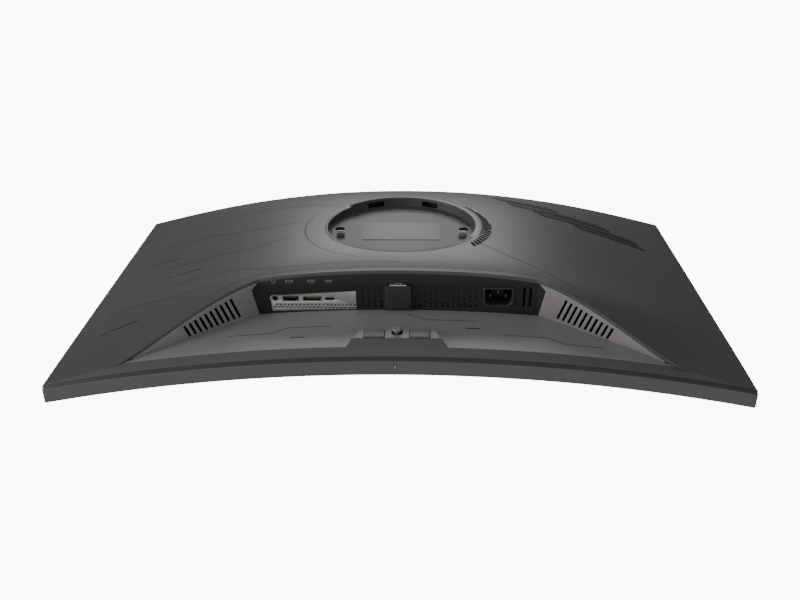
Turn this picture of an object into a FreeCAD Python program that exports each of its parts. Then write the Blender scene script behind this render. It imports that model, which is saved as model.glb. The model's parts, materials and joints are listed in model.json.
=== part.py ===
import FreeCAD, Part
import Sketcher
import math
import os

# Curved 27 inch monitor head.  Modelled about the middle of the screen front
# (X across, Y towards the back, Z up), then every piece is placed so that the
# origin is the centre of the wall-mount hole pattern on the recess floor.

V = FreeCAD.Vector
os.makedirs("parts", exist_ok=True)
doc = FreeCAD.newDocument("monitor")

# ---------------------------------------------------------------- dimensions
sheet = doc.addObject("Spreadsheet::Sheet", "dims")
TABLE = [
    ("width_all", 612.0), ("height_all", 366.0), ("curve_radius", 1500.0),
    ("bezel_depth", 13.5), ("wall", 2.6), ("seam", 0.2),
    ("screen_low", -164.9), ("screen_high", 180.6),
    ("cell_front", 0.8), ("cell_back", 2.4),
    ("film_front", 2.6), ("film_back", 3.4),
    ("guide_front", 3.6), ("guide_back", 6.0),
    ("reflector_front", 6.1), ("reflector_back", 6.4),
    ("chassis_front", 6.6), ("chassis_back", 7.8),
    ("recess_radius", 76.5), ("recess_wall", 2.8), ("floor_level", 35.0),
    ("floor_thick", 2.5), ("mount_height", 36.0), ("mount_pitch", 100.0),
    ("mount_hole_radius", 2.1), ("collar_height", 2.4),
    ("bay_level", -108.5), ("bay_half", 124.5), ("wing_tip", 238.0),
    ("wing_low", -170.0), ("bay_thick", 2.5),
    ("vent_width", 2.0), ("vent_front", 25.0), ("vent_back", 45.0),
    ("io_thick", 0.8), ("port_level", 32.0), ("inlet_x", -89.8),
    ("inlet_y", 35.5), ("tray_level", 17.0), ("tray_thick", 1.2),
    ("main_board_level", 26.2), ("power_board_level", 21.0),
    ("board_thick", 1.6), ("bracket_thick", 1.4),
    ("key_width", 17.4), ("key_height", 10.4), ("key_length", 9.0),
    ("cap_radius", 4.3), ("stem_radius", 1.5), ("stick_level", -152.0), ("key_level", -154.3),
]
D = {}
for row, (alias, value) in enumerate(TABLE, start=1):
    sheet.set("A%d" % row, alias.replace("_", " "))
    sheet.set("B%d" % row, repr(value))
    sheet.setAlias("B%d" % row, alias)
    D[alias] = value
doc.recompute()

R = D["curve_radius"]
HW = D["width_all"] / 2.0
HH = D["height_all"] / 2.0
SHIFT = FreeCAD.Placement(V(0, -D["floor_level"], -D["mount_height"]),
                          FreeCAD.Rotation())
exports = []


def sag(x):
    return R - math.sqrt(R * R - x * x)


def out(obj, label):
    obj.Label = label
    obj.Placement = SHIFT.multiply(obj.Placement)
    exports.append(obj)
    return obj


# ------------------------------------------------------------------- helpers
def body(name):
    return doc.addObject("PartDesign::Body", name)


def plane(b, role):
    for o in b.Origin.OriginFeatures:
        if o.Role == role:
            return o


def sketch(b, name, role, offset=0.0, offset_expr=None):
    sk = b.newObject("Sketcher::SketchObject", name)
    sk.AttachmentSupport = [(plane(b, role), "")]
    sk.MapMode = "FlatFace"
    sk.AttachmentOffset = FreeCAD.Placement(V(0, 0, offset), FreeCAD.Rotation())
    if offset_expr:
        sk.setExpression("AttachmentOffset.Base.z", offset_expr)
    return sk


def loop(sk, pts):
    first = sk.GeometryCount
    n = len(pts)
    for i in range(n):
        a, c = pts[i], pts[(i + 1) % n]
        sk.addGeometry(Part.LineSegment(V(a[0], a[1], 0), V(c[0], c[1], 0)), False)
    for i in range(n):
        sk.addConstraint(Sketcher.Constraint("Coincident", first + i, 2,
                                             first + (i + 1) % n, 1))


def rect(sk, x0, y0, x1, y1):
    loop(sk, [(x0, y0), (x1, y0), (x1, y1), (x0, y1)])


def circ(sk, x, y, r, expr=None, name=None):
    i = sk.addGeometry(Part.Circle(V(x, y, 0), V(0, 0, 1), r), False)
    if expr:
        c = sk.addConstraint(Sketcher.Constraint("Radius", i, r))
        sk.renameConstraint(c, name or ("rad%d" % c))
        sk.setExpression("Constraints." + (name or ("rad%d" % c)), expr)


def pad(b, sk, name, length, expr=None, back=False):
    p = b.newObject("PartDesign::Pad", name)
    p.Profile = sk
    p.Length = length
    p.Reversed = back
    if expr:
        p.setExpression("Length", expr)
    sk.Visibility = False
    b.Tip = p
    return p


def pocket(b, sk, name, length, expr=None, back=False, through=False):
    p = b.newObject("PartDesign::Pocket", name)
    p.Profile = sk
    if through:
        p.Type = "ThroughAll"
        p.Midplane = True
    else:
        p.Length = length
    p.Reversed = back
    if expr:
        p.setExpression("Length", expr)
    sk.Visibility = False
    b.Tip = p
    return p


# plate lying in the X-Z plane, from y0 towards the back
def plate(name, outline, y0, thick, holes=(), windows=(), y_expr=None,
          t_expr=None, hole_expr=None):
    b = body(name)
    sk = sketch(b, name + "_outline", "XZ_Plane", -y0,
                ("-(%s)" % y_expr) if y_expr else None)
    loop(sk, outline)
    for i, (x, z, r) in enumerate(holes):
        circ(sk, x, z, r, hole_expr, "hole%d" % i if hole_expr else None)
    for w in windows:
        rect(sk, *w)
    pad(b, sk, name + "_pad", thick, t_expr, back=True)
    return b


# plate lying in the X-Y plane, from z0 upwards
def slab(name, outline, z0, thick, holes=(), windows=(), z_expr=None,
         t_expr=None):
    b = body(name)
    sk = sketch(b, name + "_outline", "XY_Plane", z0, z_expr)
    loop(sk, outline)
    for (x, y, r) in holes:
        circ(sk, x, y, r)
    for w in windows:
        rect(sk, *w)
    pad(b, sk, name + "_pad", thick, t_expr)
    return b


# profile in the Y-Z plane, extruded across X
def bar(name, outline, x0, length, expr=None):
    b = body(name)
    sk = sketch(b, name + "_outline", "YZ_Plane", x0)
    loop(sk, outline)
    pad(b, sk, name + "_pad", length, expr)
    return b


def box_pts(x0, y0, x1, y1):
    return [(x0, y0), (x1, y0), (x1, y1), (x0, y1)]


# sheet bent to the screen curve, from front to back offset
def curved(name, half, z0, z1, f_name, b_name, z0_expr=None, len_expr=None):
    b = body(name)
    f, k = D[f_name], D[b_name]
    sk = sketch(b, name + "_arc", "XY_Plane", z0, z0_expr)
    c = V(0, -R, 0)
    ro, ri = R + k, R + f
    ao, ai = math.acos(half / ro), math.acos(half / ri)
    sk.addGeometry(Part.ArcOfCircle(Part.Circle(c, V(0, 0, 1), ro), ao, math.pi - ao), False)
    sk.addGeometry(Part.ArcOfCircle(Part.Circle(c, V(0, 0, 1), ri), ai, math.pi - ai), False)
    yo, yi = -R + ro * math.sin(ao), -R + ri * math.sin(ai)
    sk.addGeometry(Part.LineSegment(V(half, yo, 0), V(half, yi, 0)), False)
    sk.addGeometry(Part.LineSegment(V(-half, yo, 0), V(-half, yi, 0)), False)
    con = Sketcher.Constraint
    sk.addConstraint(con("Coincident", 0, 1, 2, 1))
    sk.addConstraint(con("Coincident", 1, 1, 2, 2))
    sk.addConstraint(con("Coincident", 0, 2, 3, 1))
    sk.addConstraint(con("Coincident", 1, 2, 3, 2))
    c1 = sk.addConstraint(con("Radius", 0, ro))
    sk.renameConstraint(c1, "outer")
    sk.setExpression("Constraints.outer", "dims.curve_radius + dims." + b_name)
    c2 = sk.addConstraint(con("Radius", 1, ri))
    sk.renameConstraint(c2, "inner")
    sk.setExpression("Constraints.inner", "dims.curve_radius + dims." + f_name)
    pad(b, sk, name + "_pad", z1 - z0, len_expr)
    return b


def pbox(name, x0, x1, y0, y1, z0, z1):
    o = doc.addObject("Part::Box", name)
    o.Length, o.Width, o.Height = x1 - x0, y1 - y0, z1 - z0
    o.Placement = FreeCAD.Placement(V(x0, y0, z0), FreeCAD.Rotation())
    o.Visibility = False
    return o


def pcyl(name, base, direction, r, h, r_expr=None):
    o = doc.addObject("Part::Cylinder", name)
    o.Radius, o.Height = r, h
    if r_expr:
        o.setExpression("Radius", r_expr)
    o.Placement = FreeCAD.Placement(V(*base), FreeCAD.Rotation(V(0, 0, 1), V(*direction)))
    o.Visibility = False
    return o


def fuse(name, items):
    if len(items) == 1:
        return items[0]
    o = doc.addObject("Part::MultiFuse", name)
    o.Shapes = items
    o.Refine = False
    return o


def group(name, items):
    o = doc.addObject("Part::Compound", name)
    o.Links = items
    return o


def cut(name, base, tool):
    o = doc.addObject("Part::Cut", name)
    o.Base, o.Tool = base, tool
    o.Refine = False
    return o


def common(name, a, c):
    o = doc.addObject("Part::MultiCommon", name)
    o.Shapes = [a, c]
    o.Refine = False
    return o


def copy_of(name, obj, dy):
    o = doc.addObject("Part::Compound", name)
    o.Links = [obj]
    o.Placement = FreeCAD.Placement(V(0, dy, 0), FreeCAD.Rotation())
    return o


# ------------------------------------------------- rear surface height field
DEPTH_X = [0.0, 63.0, 126.0, 180.0, 236.0, 280.0, 306.0]
DEPTH_Z = [-186.0, -173.5, -140.0, -109.0, -80.0, -45.0, -5.0, 35.0, 80.0, 115.0,
           140.0, 160.0, 183.0]
# thickness behind the screen front, one row per height
DEPTH = [
    [45.0, 43.5, 37.0, 26.0, 18.6, 16.9, 16.1],
    [53.0, 51.5, 45.0, 32.0, 21.4, 18.0, 16.3],
    [62.0, 61.0, 54.5, 43.5, 29.5, 20.5, 16.5],
    [62.0, 61.4, 57.8, 48.8, 34.6, 22.6, 16.4],
    [55.5, 54.9, 51.6, 45.0, 34.2, 23.2, 16.2],
    [50.5, 50.0, 46.9, 41.0, 31.9, 22.4, 16.0],
    [48.5, 48.0, 44.8, 39.0, 30.2, 21.6, 15.7],
    [47.0, 46.4, 43.1, 37.3, 28.8, 20.9, 15.5],
    [45.0, 44.3, 40.8, 35.1, 27.0, 19.9, 15.1],
    [42.3, 41.5, 38.0, 32.6, 25.1, 18.8, 14.8],
    [38.7, 37.9, 34.6, 29.8, 23.2, 17.8, 14.6],
    [34.0, 33.4, 30.6, 26.8, 21.4, 16.9, 14.4],
    [26.1, 25.7, 24.1, 21.9, 18.6, 15.7, 14.2],
]


def spline_slopes(xs, ys, flat_start):
    # second derivatives of the cubic through the points
    n = len(xs)
    h = [xs[i + 1] - xs[i] for i in range(n - 1)]
    a, b, c, d = [0.0] * n, [1.0] * n, [0.0] * n, [0.0] * n
    if flat_start:
        b[0], c[0], d[0] = 2 * h[0], h[0], 6 * (ys[1] - ys[0]) / h[0]
    for i in range(1, n - 1):
        a[i], b[i], c[i] = h[i - 1], 2 * (h[i - 1] + h[i]), h[i]
        d[i] = 6 * ((ys[i + 1] - ys[i]) / h[i] - (ys[i] - ys[i - 1]) / h[i - 1])
    for i in range(1, n):
        w = a[i] / b[i - 1]
        b[i] -= w * c[i - 1]
        d[i] -= w * d[i - 1]
    m = [0.0] * n
    m[-1] = d[-1] / b[-1]
    for i in range(n - 2, -1, -1):
        m[i] = (d[i] - c[i] * m[i + 1]) / b[i]
    return m


def spline_at(xs, ys, m, x):
    i = 0
    while i < len(xs) - 2 and x > xs[i + 1]:
        i += 1
    h, t, u = xs[i + 1] - xs[i], x - xs[i], xs[i + 1] - x
    return ((m[i] * u ** 3 + m[i + 1] * t ** 3) / (6 * h)
            + (ys[i] / h - m[i] * h / 6) * u + (ys[i + 1] / h - m[i + 1] * h / 6) * t)


ROW_M = [spline_slopes(DEPTH_X, row, True) for row in DEPTH]


def depth(x, z):
    col = [spline_at(DEPTH_X, DEPTH[i], ROW_M[i], abs(x)) for i in range(len(DEPTH_Z))]
    return spline_at(DEPTH_Z, col, spline_slopes(DEPTH_Z, col, False), z)


def rear(x, z):
    return depth(x, z) - sag(x)


grid_x = [-312 + 24 * i for i in range(27)]
grid_z = [-186, -178, -170, -160, -150, -139, -128, -118, -110, -103, -94, -84,
          -72, -58, -42, -24, -4, 16, 36, 56, 76, 95, 112, 128, 142, 154, 165,
          176, 186]
surf = Part.BSplineSurface()
surf.interpolate([[V(x, rear(x, z), z) for z in grid_z] for x in grid_x])
solid = surf.toShape().extrude(V(0, -160, 0))
field = doc.addObject("Part::Feature", "rear_field")
field.Shape = solid
doc.recompute()


def sector(name, r0, r1, a0, a1, y0, y1, steps=40):
    # ring sector about the recess axis; angles run from -X towards +Z
    pts = []
    for i in range(steps + 1):
        a = math.radians(a0 + (a1 - a0) * i / steps)
        pts.append((-r1 * math.cos(a), D["mount_height"] + r1 * math.sin(a)))
    for i in range(steps, -1, -1):
        a = math.radians(a0 + (a1 - a0) * i / steps)
        pts.append((-r0 * math.cos(a), D["mount_height"] + r0 * math.sin(a)))
    b = body(name)
    sk = sketch(b, name + "_ring", "XZ_Plane", -y0)
    loop(sk, pts)
    pad(b, sk, name + "_pad", y1 - y0, back=True)
    return b


def front_core(name, offset):
    return pcyl(name, (0, -R, -220), (0, 0, 1), R + offset, 440)


BL, BH = D["bay_level"], D["bay_half"]
WT, WL = D["wing_tip"], D["wing_low"]
MH = D["mount_height"]


def cutout_pts(gap):
    # trapezoid of the connector bay, grown upwards by gap
    g = gap
    k = 0.26 * g
    return [(-310, -180.5 + g), (-WT - k, WL + g), (-BH - k, BL + g), (BH + k, BL + g),
            (WT + k, WL + g), (310, -180.5 + g), (310, -200), (-310, -200)]


# --------------------------------------------------------------- rear cover
env = pbox("cover_envelope", -HW, HW, -90, 110, -HH, HH)
outer = common("cover_outer", field, env)
inner_field = copy_of("inner_field", field, -D["wall"])
inner_box = pbox("cover_inner_box", -HW + D["wall"], HW - D["wall"], -120, 110,
                 -HH - 5, HH - D["wall"])
inner = common("cover_inner", inner_field, inner_box)
shell = cut("cover_shell", outer, inner)
bay_tool = plate("bay_tool", cutout_pts(0.0), -120, 260)
hole_tool = pcyl("recess_tool", (0, 20, MH), (0, 1, 0), D["recess_radius"] + D["recess_wall"] + 0.15, 80)
skin_floor = copy_of("skin_floor", field, -1.2)
groove = cut("groove_tool", sector("groove_ring", 85.4, 93.0, -4, 66, 20, 80), skin_floor)
slits = []
for i in range(9):
    a = math.radians(-36.5 + 3.5 * i)
    s = pbox("comb_slit_%d" % i, -4.6, 4.6, 20, 80, -1.3, 1.3)
    s.Placement = FreeCAD.Placement(V(-89.4 * math.cos(a), 0, MH + 89.4 * math.sin(a)),
                                    FreeCAD.Rotation(V(0, 1, 0), 180 + math.degrees(a) - 30)).multiply(s.Placement)
    slits.append(s)
comb = cut("comb_tool", group("comb_slits", slits), skin_floor)
s1 = cut("cover_a", shell, front_core("cover_front", D["bezel_depth"] + D["seam"]))
s2 = cut("cover_b", s1, bay_tool)
s3 = cut("cover_c", s2, hole_tool)
s4 = cut("cover_d", s3, groove)
s5 = cut("rear_cover", s4, comb)
out(s5, "rear_cover")

# -------------------------------------------------------------- recess cup
cup_block = pcyl("cup_block", (0, D["floor_level"] - D["floor_thick"], MH), (0, 1, 0),
                 D["recess_radius"] + D["recess_wall"], 60)
cup_trim = common("cup_trim", field, cup_block)
cup_tools = [pcyl("cup_bore", (0, D["floor_level"], MH), (0, 1, 0), D["recess_radius"], 60,
                  "dims.recess_radius")]
for sx in (-1, 1):
    cup_tools.append(pcyl("latch_hole_%d" % (sx + 1), (sx * 65.4, 20, 46.5), (0, 1, 0), 5.2, 30))
    cup_tools.append(pbox("hook_window_%d" % (sx + 1), sx * 29.6 - 8.5, sx * 29.6 + 8.5, 35.0, 41.4, 96, 122))
    for sz in (-1, 1):
        cup_tools.append(pcyl("cup_hole_%d%d" % (sx + 1, sz + 1), (sx * 50, 20, MH + sz * 50), (0, 1, 0),
                              D["mount_hole_radius"], 30, "dims.mount_hole_radius"))
cup = cut("recess_cup", cup_trim, fuse("cup_tools", cup_tools))
out(cup, "recess_cup")

# C-shaped collar standing on the rear surface round the recess; it is widest
# at the side and sinks into the surface at its lower end
collar_ring = sector("collar_ring", D["recess_radius"], 84.5, -38, 136, 20, 90)
collar_disc = pcyl("collar_disc", (-2.6, 20, MH), (0, 1, 0), 81.9, 70)
collar_band = common("collar_band", collar_ring, collar_disc)
collar_fade = copy_of("collar_fade", field, 0.0)
fade_mid, fade_dir = rear(0, MH) + 0.9, math.radians(72.0)
fade_turn = FreeCAD.Rotation(V(-math.sin(fade_dir), 0, -math.cos(fade_dir)), 4.6)
collar_fade.Placement = FreeCAD.Placement(V(0, 0.9, 0), fade_turn, V(0, fade_mid, MH))
collar_top = common("collar_top", common("collar_low", collar_band, collar_fade),
                    copy_of("collar_field", field, D["collar_height"]))
collar = cut("recess_collar", collar_top, copy_of("collar_seat", field, 0.05))
out(collar, "recess_collar")

# two latch lugs, blank plate
for tag, sx in (("left", -1), ("right", 1)):
    b = plate("latch_%s" % tag, [(sx * 59.2, 26.5), (sx * 67.2, 26.5), (sx * 67.2, 32.2), (sx * 65.8, 33.6),
                                 (sx * 60.6, 33.6), (sx * 59.2, 32.2)], D["floor_level"] + 0.05, 4.6)
    sk = sketch(b, "latch_%s_mouth" % tag, "XY_Plane", 37)
    rect(sk, sx * 60.6, 36.0, sx * 65.8, 38.2)
    pocket(b, sk, "latch_%s_pocket" % tag, 10.0)
    out(b, "latch_lug_" + tag)
label = plate("floor_plate", box_pts(-40.6, 18, 40.6, 64), D["floor_level"] + 0.03, 0.5)
out(label, "floor_plate")

# ------------------------------------------------------------ lower cover
# section in (depth, height), swept along the curve
def sweep(name, pts, z_half=None):
    sk = doc.addObject("Sketcher::SketchObject", name + "_section")
    sk.Placement = FreeCAD.Placement(V(0, 0, 0), FreeCAD.Rotation(V(1, 1, 1), 120))
    loop(sk, pts)
    r = doc.addObject("Part::Revolution", name)
    r.Source = sk
    r.Axis = V(0, 0, 1)
    r.Base = V(0, -R, 0)
    r.Angle = 24.0
    r.Symmetric = True
    r.Solid = True
    return r


low_gap = D["seam"] + 0.1
LT = BL - low_gap
sheet_pts = [(23.0, LT), (20.0, -169.0), (17.0, -180.0), (14.6, -180.0), (14.6, -177.6),
             (17.5, -168.2), (20.4, LT)]
low_sheet = sweep("low_sheet", sheet_pts)
low_plan = plate("low_plan", cutout_pts(-low_gap)[0:6] + [(310, -185), (-310, -185)], -120, 260)
low_box = pbox("low_box", -HW, HW, -90, 60, -HH, 0)
low_a = common("low_a", low_sheet, low_plan)
low_b = common("low_b", low_a, low_box)
plat_sweep = sweep("plat_sweep", [(18.4, -170.2), (20.2, -169.2), (23.6, -160.8), (24.6, -148.0),
                                  (21.8, -144.8), (18.9, -144.8)])
plat_plan = plate("plat_plan", [(-44, -169.4), (-34, -147.8), (-31, -145.0), (31, -145.0), (34, -147.8),
                                (44, -169.4), (44, -171), (-44, -171)], -20, 80)
plat = common("plat", plat_sweep, plat_plan)
low_c = fuse("low_c", [low_b, plat])
KX = 19.5
SZ = D["stick_level"]
KZ = D["key_level"]
low_tools = [pcyl("stick_hole", (0, 5, SZ), (0, 1, 0), 5.0, 40)]
for sx in (-1, 1):
    low_tools.append(pbox("key_window_%d" % (sx + 1), sx * KX - 9.1, sx * KX + 9.1, 5, 40,
                          KZ - 7.0, KZ + 5.6))
low = cut("lower_cover", low_c, fuse("low_tools", low_tools))
out(low, "lower_cover")

# --------------------------------------------------------------- bay panel
bay_field = copy_of("bay_field", field, -D["wall"] - 0.15)
bay_slab = pbox("bay_slab", -BH + 0.2, BH - 0.2, -40, 90, BL, BL + D["bay_thick"])
bay_a = common("bay_a", bay_slab, bay_field)
bay_b = cut("bay_b", bay_a, front_core("bay_front", 20.4))
io_window = fuse("io_window", [slab("io_opening", [(38.0, 21.4), (115.6, 19.0), (115.6, 36.4), (38.0, 41.0)],
                                    -120, 20),
                               pcyl("io_opening_end", (111.6, D["port_level"], -120), (0, 0, 1), 5.0, 20)])
bay_tools = [io_window,
             pbox("inlet_window", D["inlet_x"] - 14.4, D["inlet_x"] + 14.4,
                  D["inlet_y"] - 10.0, D["inlet_y"] + 10.0, -120, -100)]
VENT_X = [30.6, 25.3, 20.0, 14.8] + [-14.6 - 5.05 * i for i in range(12)] + [-112.8, -118.4]
for i, x in enumerate(VENT_X):
    v = pbox("vent_%d" % i, x - 1, x + 1, D["vent_front"], D["vent_back"], -120, -100)
    v.setExpression("Length", "dims.vent_width")
    bay_tools.append(v)
bay = cut("bay_panel", bay_b, group("bay_tools", bay_tools))
out(bay, "bay_panel")
mesh = slab("vent_screen", box_pts(-73.5, 23.6, 35.0, 46.5), BL + D["bay_thick"] + 0.15, 0.4)
out(mesh, "vent_screen")

# lock boss below the bay with its metal slot plate
boss = slab("lock_boss", [(-11.8, 24.4), (11.8, 24.4), (11.8, 48), (-11.8, 48)], BL - 4.0, 3.9)
out(boss, "lock_boss")
lock = plate("lock_plate", box_pts(-7.5, BL - 3.95, 7.5, BL - 0.15), 48.1, 1.2,
             windows=[(-3.5, BL - 3.3, 3.5, BL - 0.9)])
out(lock, "lock_plate")

# ------------------------------------------------------------- wing grilles
wing_len = math.hypot(WT - BH, WL - BL)
wing_ang = math.degrees(math.atan2(-(WL - BL), WT - BH))
for tag, sx in (("left", -1), ("right", 1)):
    ws = pbox("wing_slab_" + tag, 0, wing_len - 12, -40, 80, 0, D["bay_thick"])
    rot = FreeCAD.Rotation(V(0, 1, 0), wing_ang)
    tools = []
    for i in range(10):
        f = i / 9.0
        ut, yt = 27.2 + (70.6 - 27.2) * f, 39.2 + (22.9 - 39.2) * f
        ub, yb = 19.9 + (66.1 - 19.9) * f, 18.5 + (11.2 - 18.5) * f
        ln = math.hypot(ut - ub, yt - yb)
        t = pbox("wing_slot_%s_%d" % (tag, i), 0, ln, -1.1, 1.1, -5, 8)
        ang = math.degrees(math.atan2(yt - yb, ut - ub))
        t.Placement = FreeCAD.Placement(V(ub, yb, -5), FreeCAD.Rotation(V(0, 0, 1), ang)).multiply(
            FreeCAD.Placement(V(0, -1.1, 0), FreeCAD.Rotation()))
        tools.append(t)
    tg = group("wing_slots_" + tag, tools)
    if sx > 0:
        pl = FreeCAD.Placement(V(BH, 0, BL), rot)
        ws.Placement = pl.multiply(ws.Placement)
        tg.Placement = pl
        base, tool = ws, tg
    else:
        pl = FreeCAD.Placement(V(BH, 0, BL), rot)
        ws.Placement = pl.multiply(ws.Placement)
        tg.Placement = pl
        m1 = doc.addObject("Part::Mirroring", "wing_mirror_slab")
        m1.Source, m1.Normal = ws, V(1, 0, 0)
        m2 = doc.addObject("Part::Mirroring", "wing_mirror_slots")
        m2.Source, m2.Normal = tg, V(1, 0, 0)
        base, tool = m1, m2
    wa = common("wing_a_" + tag, base, bay_field)
    wb = cut("wing_b_" + tag, wa, front_core("wing_front_" + tag, 16.0))
    wc = cut("wing_grille_" + tag, wb, tool)
    out(wc, "wing_grille_" + tag)

# ------------------------------------------------------------- front bezel
bz = sweep("bezel_low", [(0, -183), (13.5, -183), (16.8, -180.3), (15.0, -180.3), (13.2, -181.0),
                         (2.0, -181.0), (2.0, -165.3), (0, -165.3)])
bz_low = common("bezel_low_trim", bz, pbox("bezel_low_box", -HW, HW, -90, 60, -HH, HH))
blank = cut("bezel_blank", common("bezel_block", pbox("bezel_box", -HW, HW, -90, 40, -HH, HH),
                                  front_core("bezel_disc", D["bezel_depth"])),
            front_core("bezel_disc_in", 0.0))
bezel_in = pbox("bezel_in", -HW + 2, HW - 2, -120, 60, -HH - 1, HH - 2)
walls = cut("bezel_walls", blank, bezel_in)
bez = fuse("bezel_body", [walls, bz_low])
led_hole = pbox("led_hole", -0.4, 2.6, 5.7, 10.5, -190, -178)
bezel = cut("front_bezel", bez, led_hole)
out(bezel, "front_bezel")
led = slab("power_led_lens", box_pts(-0.25, 5.85, 2.45, 10.35), -183.15, 3.6)
out(led, "power_led_lens")

# -------------------------------------------------------------- screen stack
SL, SH = D["screen_low"], D["screen_high"]
out(curved("lcd_cell", 303.5, SL, SH, "cell_front", "cell_back", "dims.screen_low",
           "dims.screen_high - dims.screen_low"), "lcd_cell")
out(curved("optical_films", 300.5, -162.5, 178.4, "film_front", "film_back"), "optical_films")
out(curved("light_guide", 300.5, -161.0, 178.4, "guide_front", "guide_back"), "light_guide")
out(curved("reflector_sheet", 300.5, -162.5, 178.4, "reflector_front", "reflector_back"), "reflector_sheet")
out(curved("led_bar", 296.0, -162.8, -161.3, "guide_front", "guide_back"), "led_bar")
mf_o = curved("mould_outer", 303.6, -167.5, 180.7, "film_front", "reflector_back")
mf_i = pbox("mould_inner", -301.0, 301.0, -120, 40, -163.2, 178.9)
mf = cut("panel_frame", mf_o, mf_i)
out(mf, "panel_frame")
ch = curved("backlight_chassis", 303.4, -168.0, 180.6, "chassis_front", "chassis_back")
out(ch, "backlight_chassis")

# ------------------------------------------------- tray, bracket and boards
tray_plate = plate("tray_plate", box_pts(-150, -104, 150, 108), D["tray_level"], D["tray_thick"],
                   windows=[(-60, -30, 60, 20), (-60, 34, 60, 90)],
                   y_expr="dims.tray_level", t_expr="dims.tray_thick")
tray_parts = [tray_plate]
for sx in (-1, 1):
    x0, x1 = sorted((sx * 150, sx * 148.8))
    tray_parts.append(pbox("tray_flange_%d" % (sx + 1), x0, x1, 0.8, 17.4, -96, 100))
BOARD_MAIN = [(14, -97), (131, -84), (14, -56), (131, -56)]
BOARD_POWER = [(-132, -96), (-22, -97), (-22, -56), (-132, -56)]
for i, (x, z) in enumerate(BOARD_MAIN):
    tray_parts.append(cut("main_post_cut_%d" % i, pcyl("main_post_%d" % i, (x, 18.0, z), (0, 1, 0), 3.0, 8.0),
                          pcyl("main_post_bore_%d" % i, (x, 19.0, z), (0, 1, 0), 1.3, 9.0)))
for i, (x, z) in enumerate(BOARD_POWER):
    tray_parts.append(cut("power_post_cut_%d" % i, pcyl("power_post_%d" % i, (x, 18.0, z), (0, 1, 0), 3.0, 2.8),
                          pcyl("power_post_bore_%d" % i, (x, 18.4, z), (0, 1, 0), 1.3, 9.0)))
BRK = [(-61, -22), (61, -22), (-61, 94), (61, 94)]
for i, (x, z) in enumerate(BRK):
    tray_parts.append(cut("tower_cut_%d" % i, pcyl("tower_%d" % i, (x, 18.0, z), (0, 1, 0), 4.0, 12.8),
                          pcyl("tower_bore_%d" % i, (x, 20.0, z), (0, 1, 0), 1.7, 12.0)))
tray = fuse("electronics_tray", tray_parts)
out(tray, "electronics_tray")

br = plate("vesa_bracket", [(-68, -30), (68, -30), (68, 102), (-68, 102)], 30.95, D["bracket_thick"],
           holes=[(sx * 50, MH + sz * 50, 2.1) for sx in (-1, 1) for sz in (-1, 1)]
           + [(x, z, 1.9) for (x, z) in BRK], windows=[(-38, 8, 38, 64)],
           t_expr="dims.bracket_thick")
out(br, "vesa_bracket")
nuts = []
for sx in (-1, 1):
    for sz in (-1, 1):
        n = cut("nut_%d%d" % (sx + 1, sz + 1),
                pcyl("nut_body_%d%d" % (sx + 1, sz + 1), (sx * 50, 23.0, MH + sz * 50), (0, 1, 0), 4.8, 7.9),
                pcyl("nut_bore_%d%d" % (sx + 1, sz + 1), (sx * 50, 22.0, MH + sz * 50), (0, 1, 0), 2.1, 12,
                     "dims.mount_hole_radius"))
        nuts.append(n)
out(group("mount_inserts", nuts), "mount_inserts")
bs = []
for i, (x, z) in enumerate(BRK):
    bs.append(fuse("bracket_screw_%d" % i, [pcyl("bracket_shank_%d" % i, (x, 24.0, z), (0, 1, 0), 1.65, 7.0),
                                          pcyl("bracket_head_%d" % i, (x, 31.0 - 0.05, z), (0, 1, 0), 1.85, 1.3)]))
out(group("bracket_screws", bs), "bracket_screws")

MB = D["main_board_level"]
mb = plate("main_board", [(8, -103), (137, -103), (137, -50), (8, -50)], MB, D["board_thick"],
           holes=[(x, z, 1.6) for (x, z) in BOARD_MAIN], y_expr="dims.main_board_level",
           t_expr="dims.board_thick")
out(mb, "main_board")
MT = MB + D["board_thick"] + 0.05
chips = []
for i, (x, z, w, h, t) in enumerate([(60, -70, 16, 16, 1.4), (86, -66, 12, 9, 1.1), (36, -64, 10, 10, 1.2),
                                     (104, -70, 8, 6, 1.0), (116, -60, 9, 5, 1.0), (30, -82, 6, 8, 1.0),
                                     (88, -80, 7, 5, 0.9)]):
    chips.append(pbox("chip_%d" % i, x - w / 2, x + w / 2, MT, MT + t, z - h / 2, z + h / 2))
out(group("main_chips", chips), "main_chips")
hs = bar("main_heatsink", [(MT + 1.5, -79), (MT + 3.0, -79), (MT + 3.0, -78.2)]
         + [p for i in range(6) for p in ((MT + 9.0, -78.2 + 3.0 * i), (MT + 9.0, -77.0 + 3.0 * i),
                                          (MT + 3.0, -77.0 + 3.0 * i), (MT + 3.0, -75.2 + 3.0 * i))][:-1]
         + [(MT + 3.0, -61), (MT + 1.5, -61)], 51, 18)
out(hs, "main_heatsink")

# board and bay connectors
PL = D["port_level"]
io = slab("io_bracket", [(36.2, 20.4), (117.2, 17.4), (117.2, 42.8), (36.2, 42.8)], BL + D["bay_thick"] + 0.15, D["io_thick"],
          holes=[(111.6, PL, 3.2)] + [(39.6 + 3.54 * i, 25.2, 0.8) for i in range(21)]
          + [(41.37 + 3.54 * i, 22.9, 0.8) for i in range(21)],
          windows=[(89.9, PL - 2.9, 104.9, PL + 2.9), (69.4, PL - 2.6, 86.4, PL + 2.6),
                   (57.4, PL - 1.8, 66.8, PL + 1.8)], t_expr="dims.io_thick")
out(io, "io_bracket")


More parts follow.
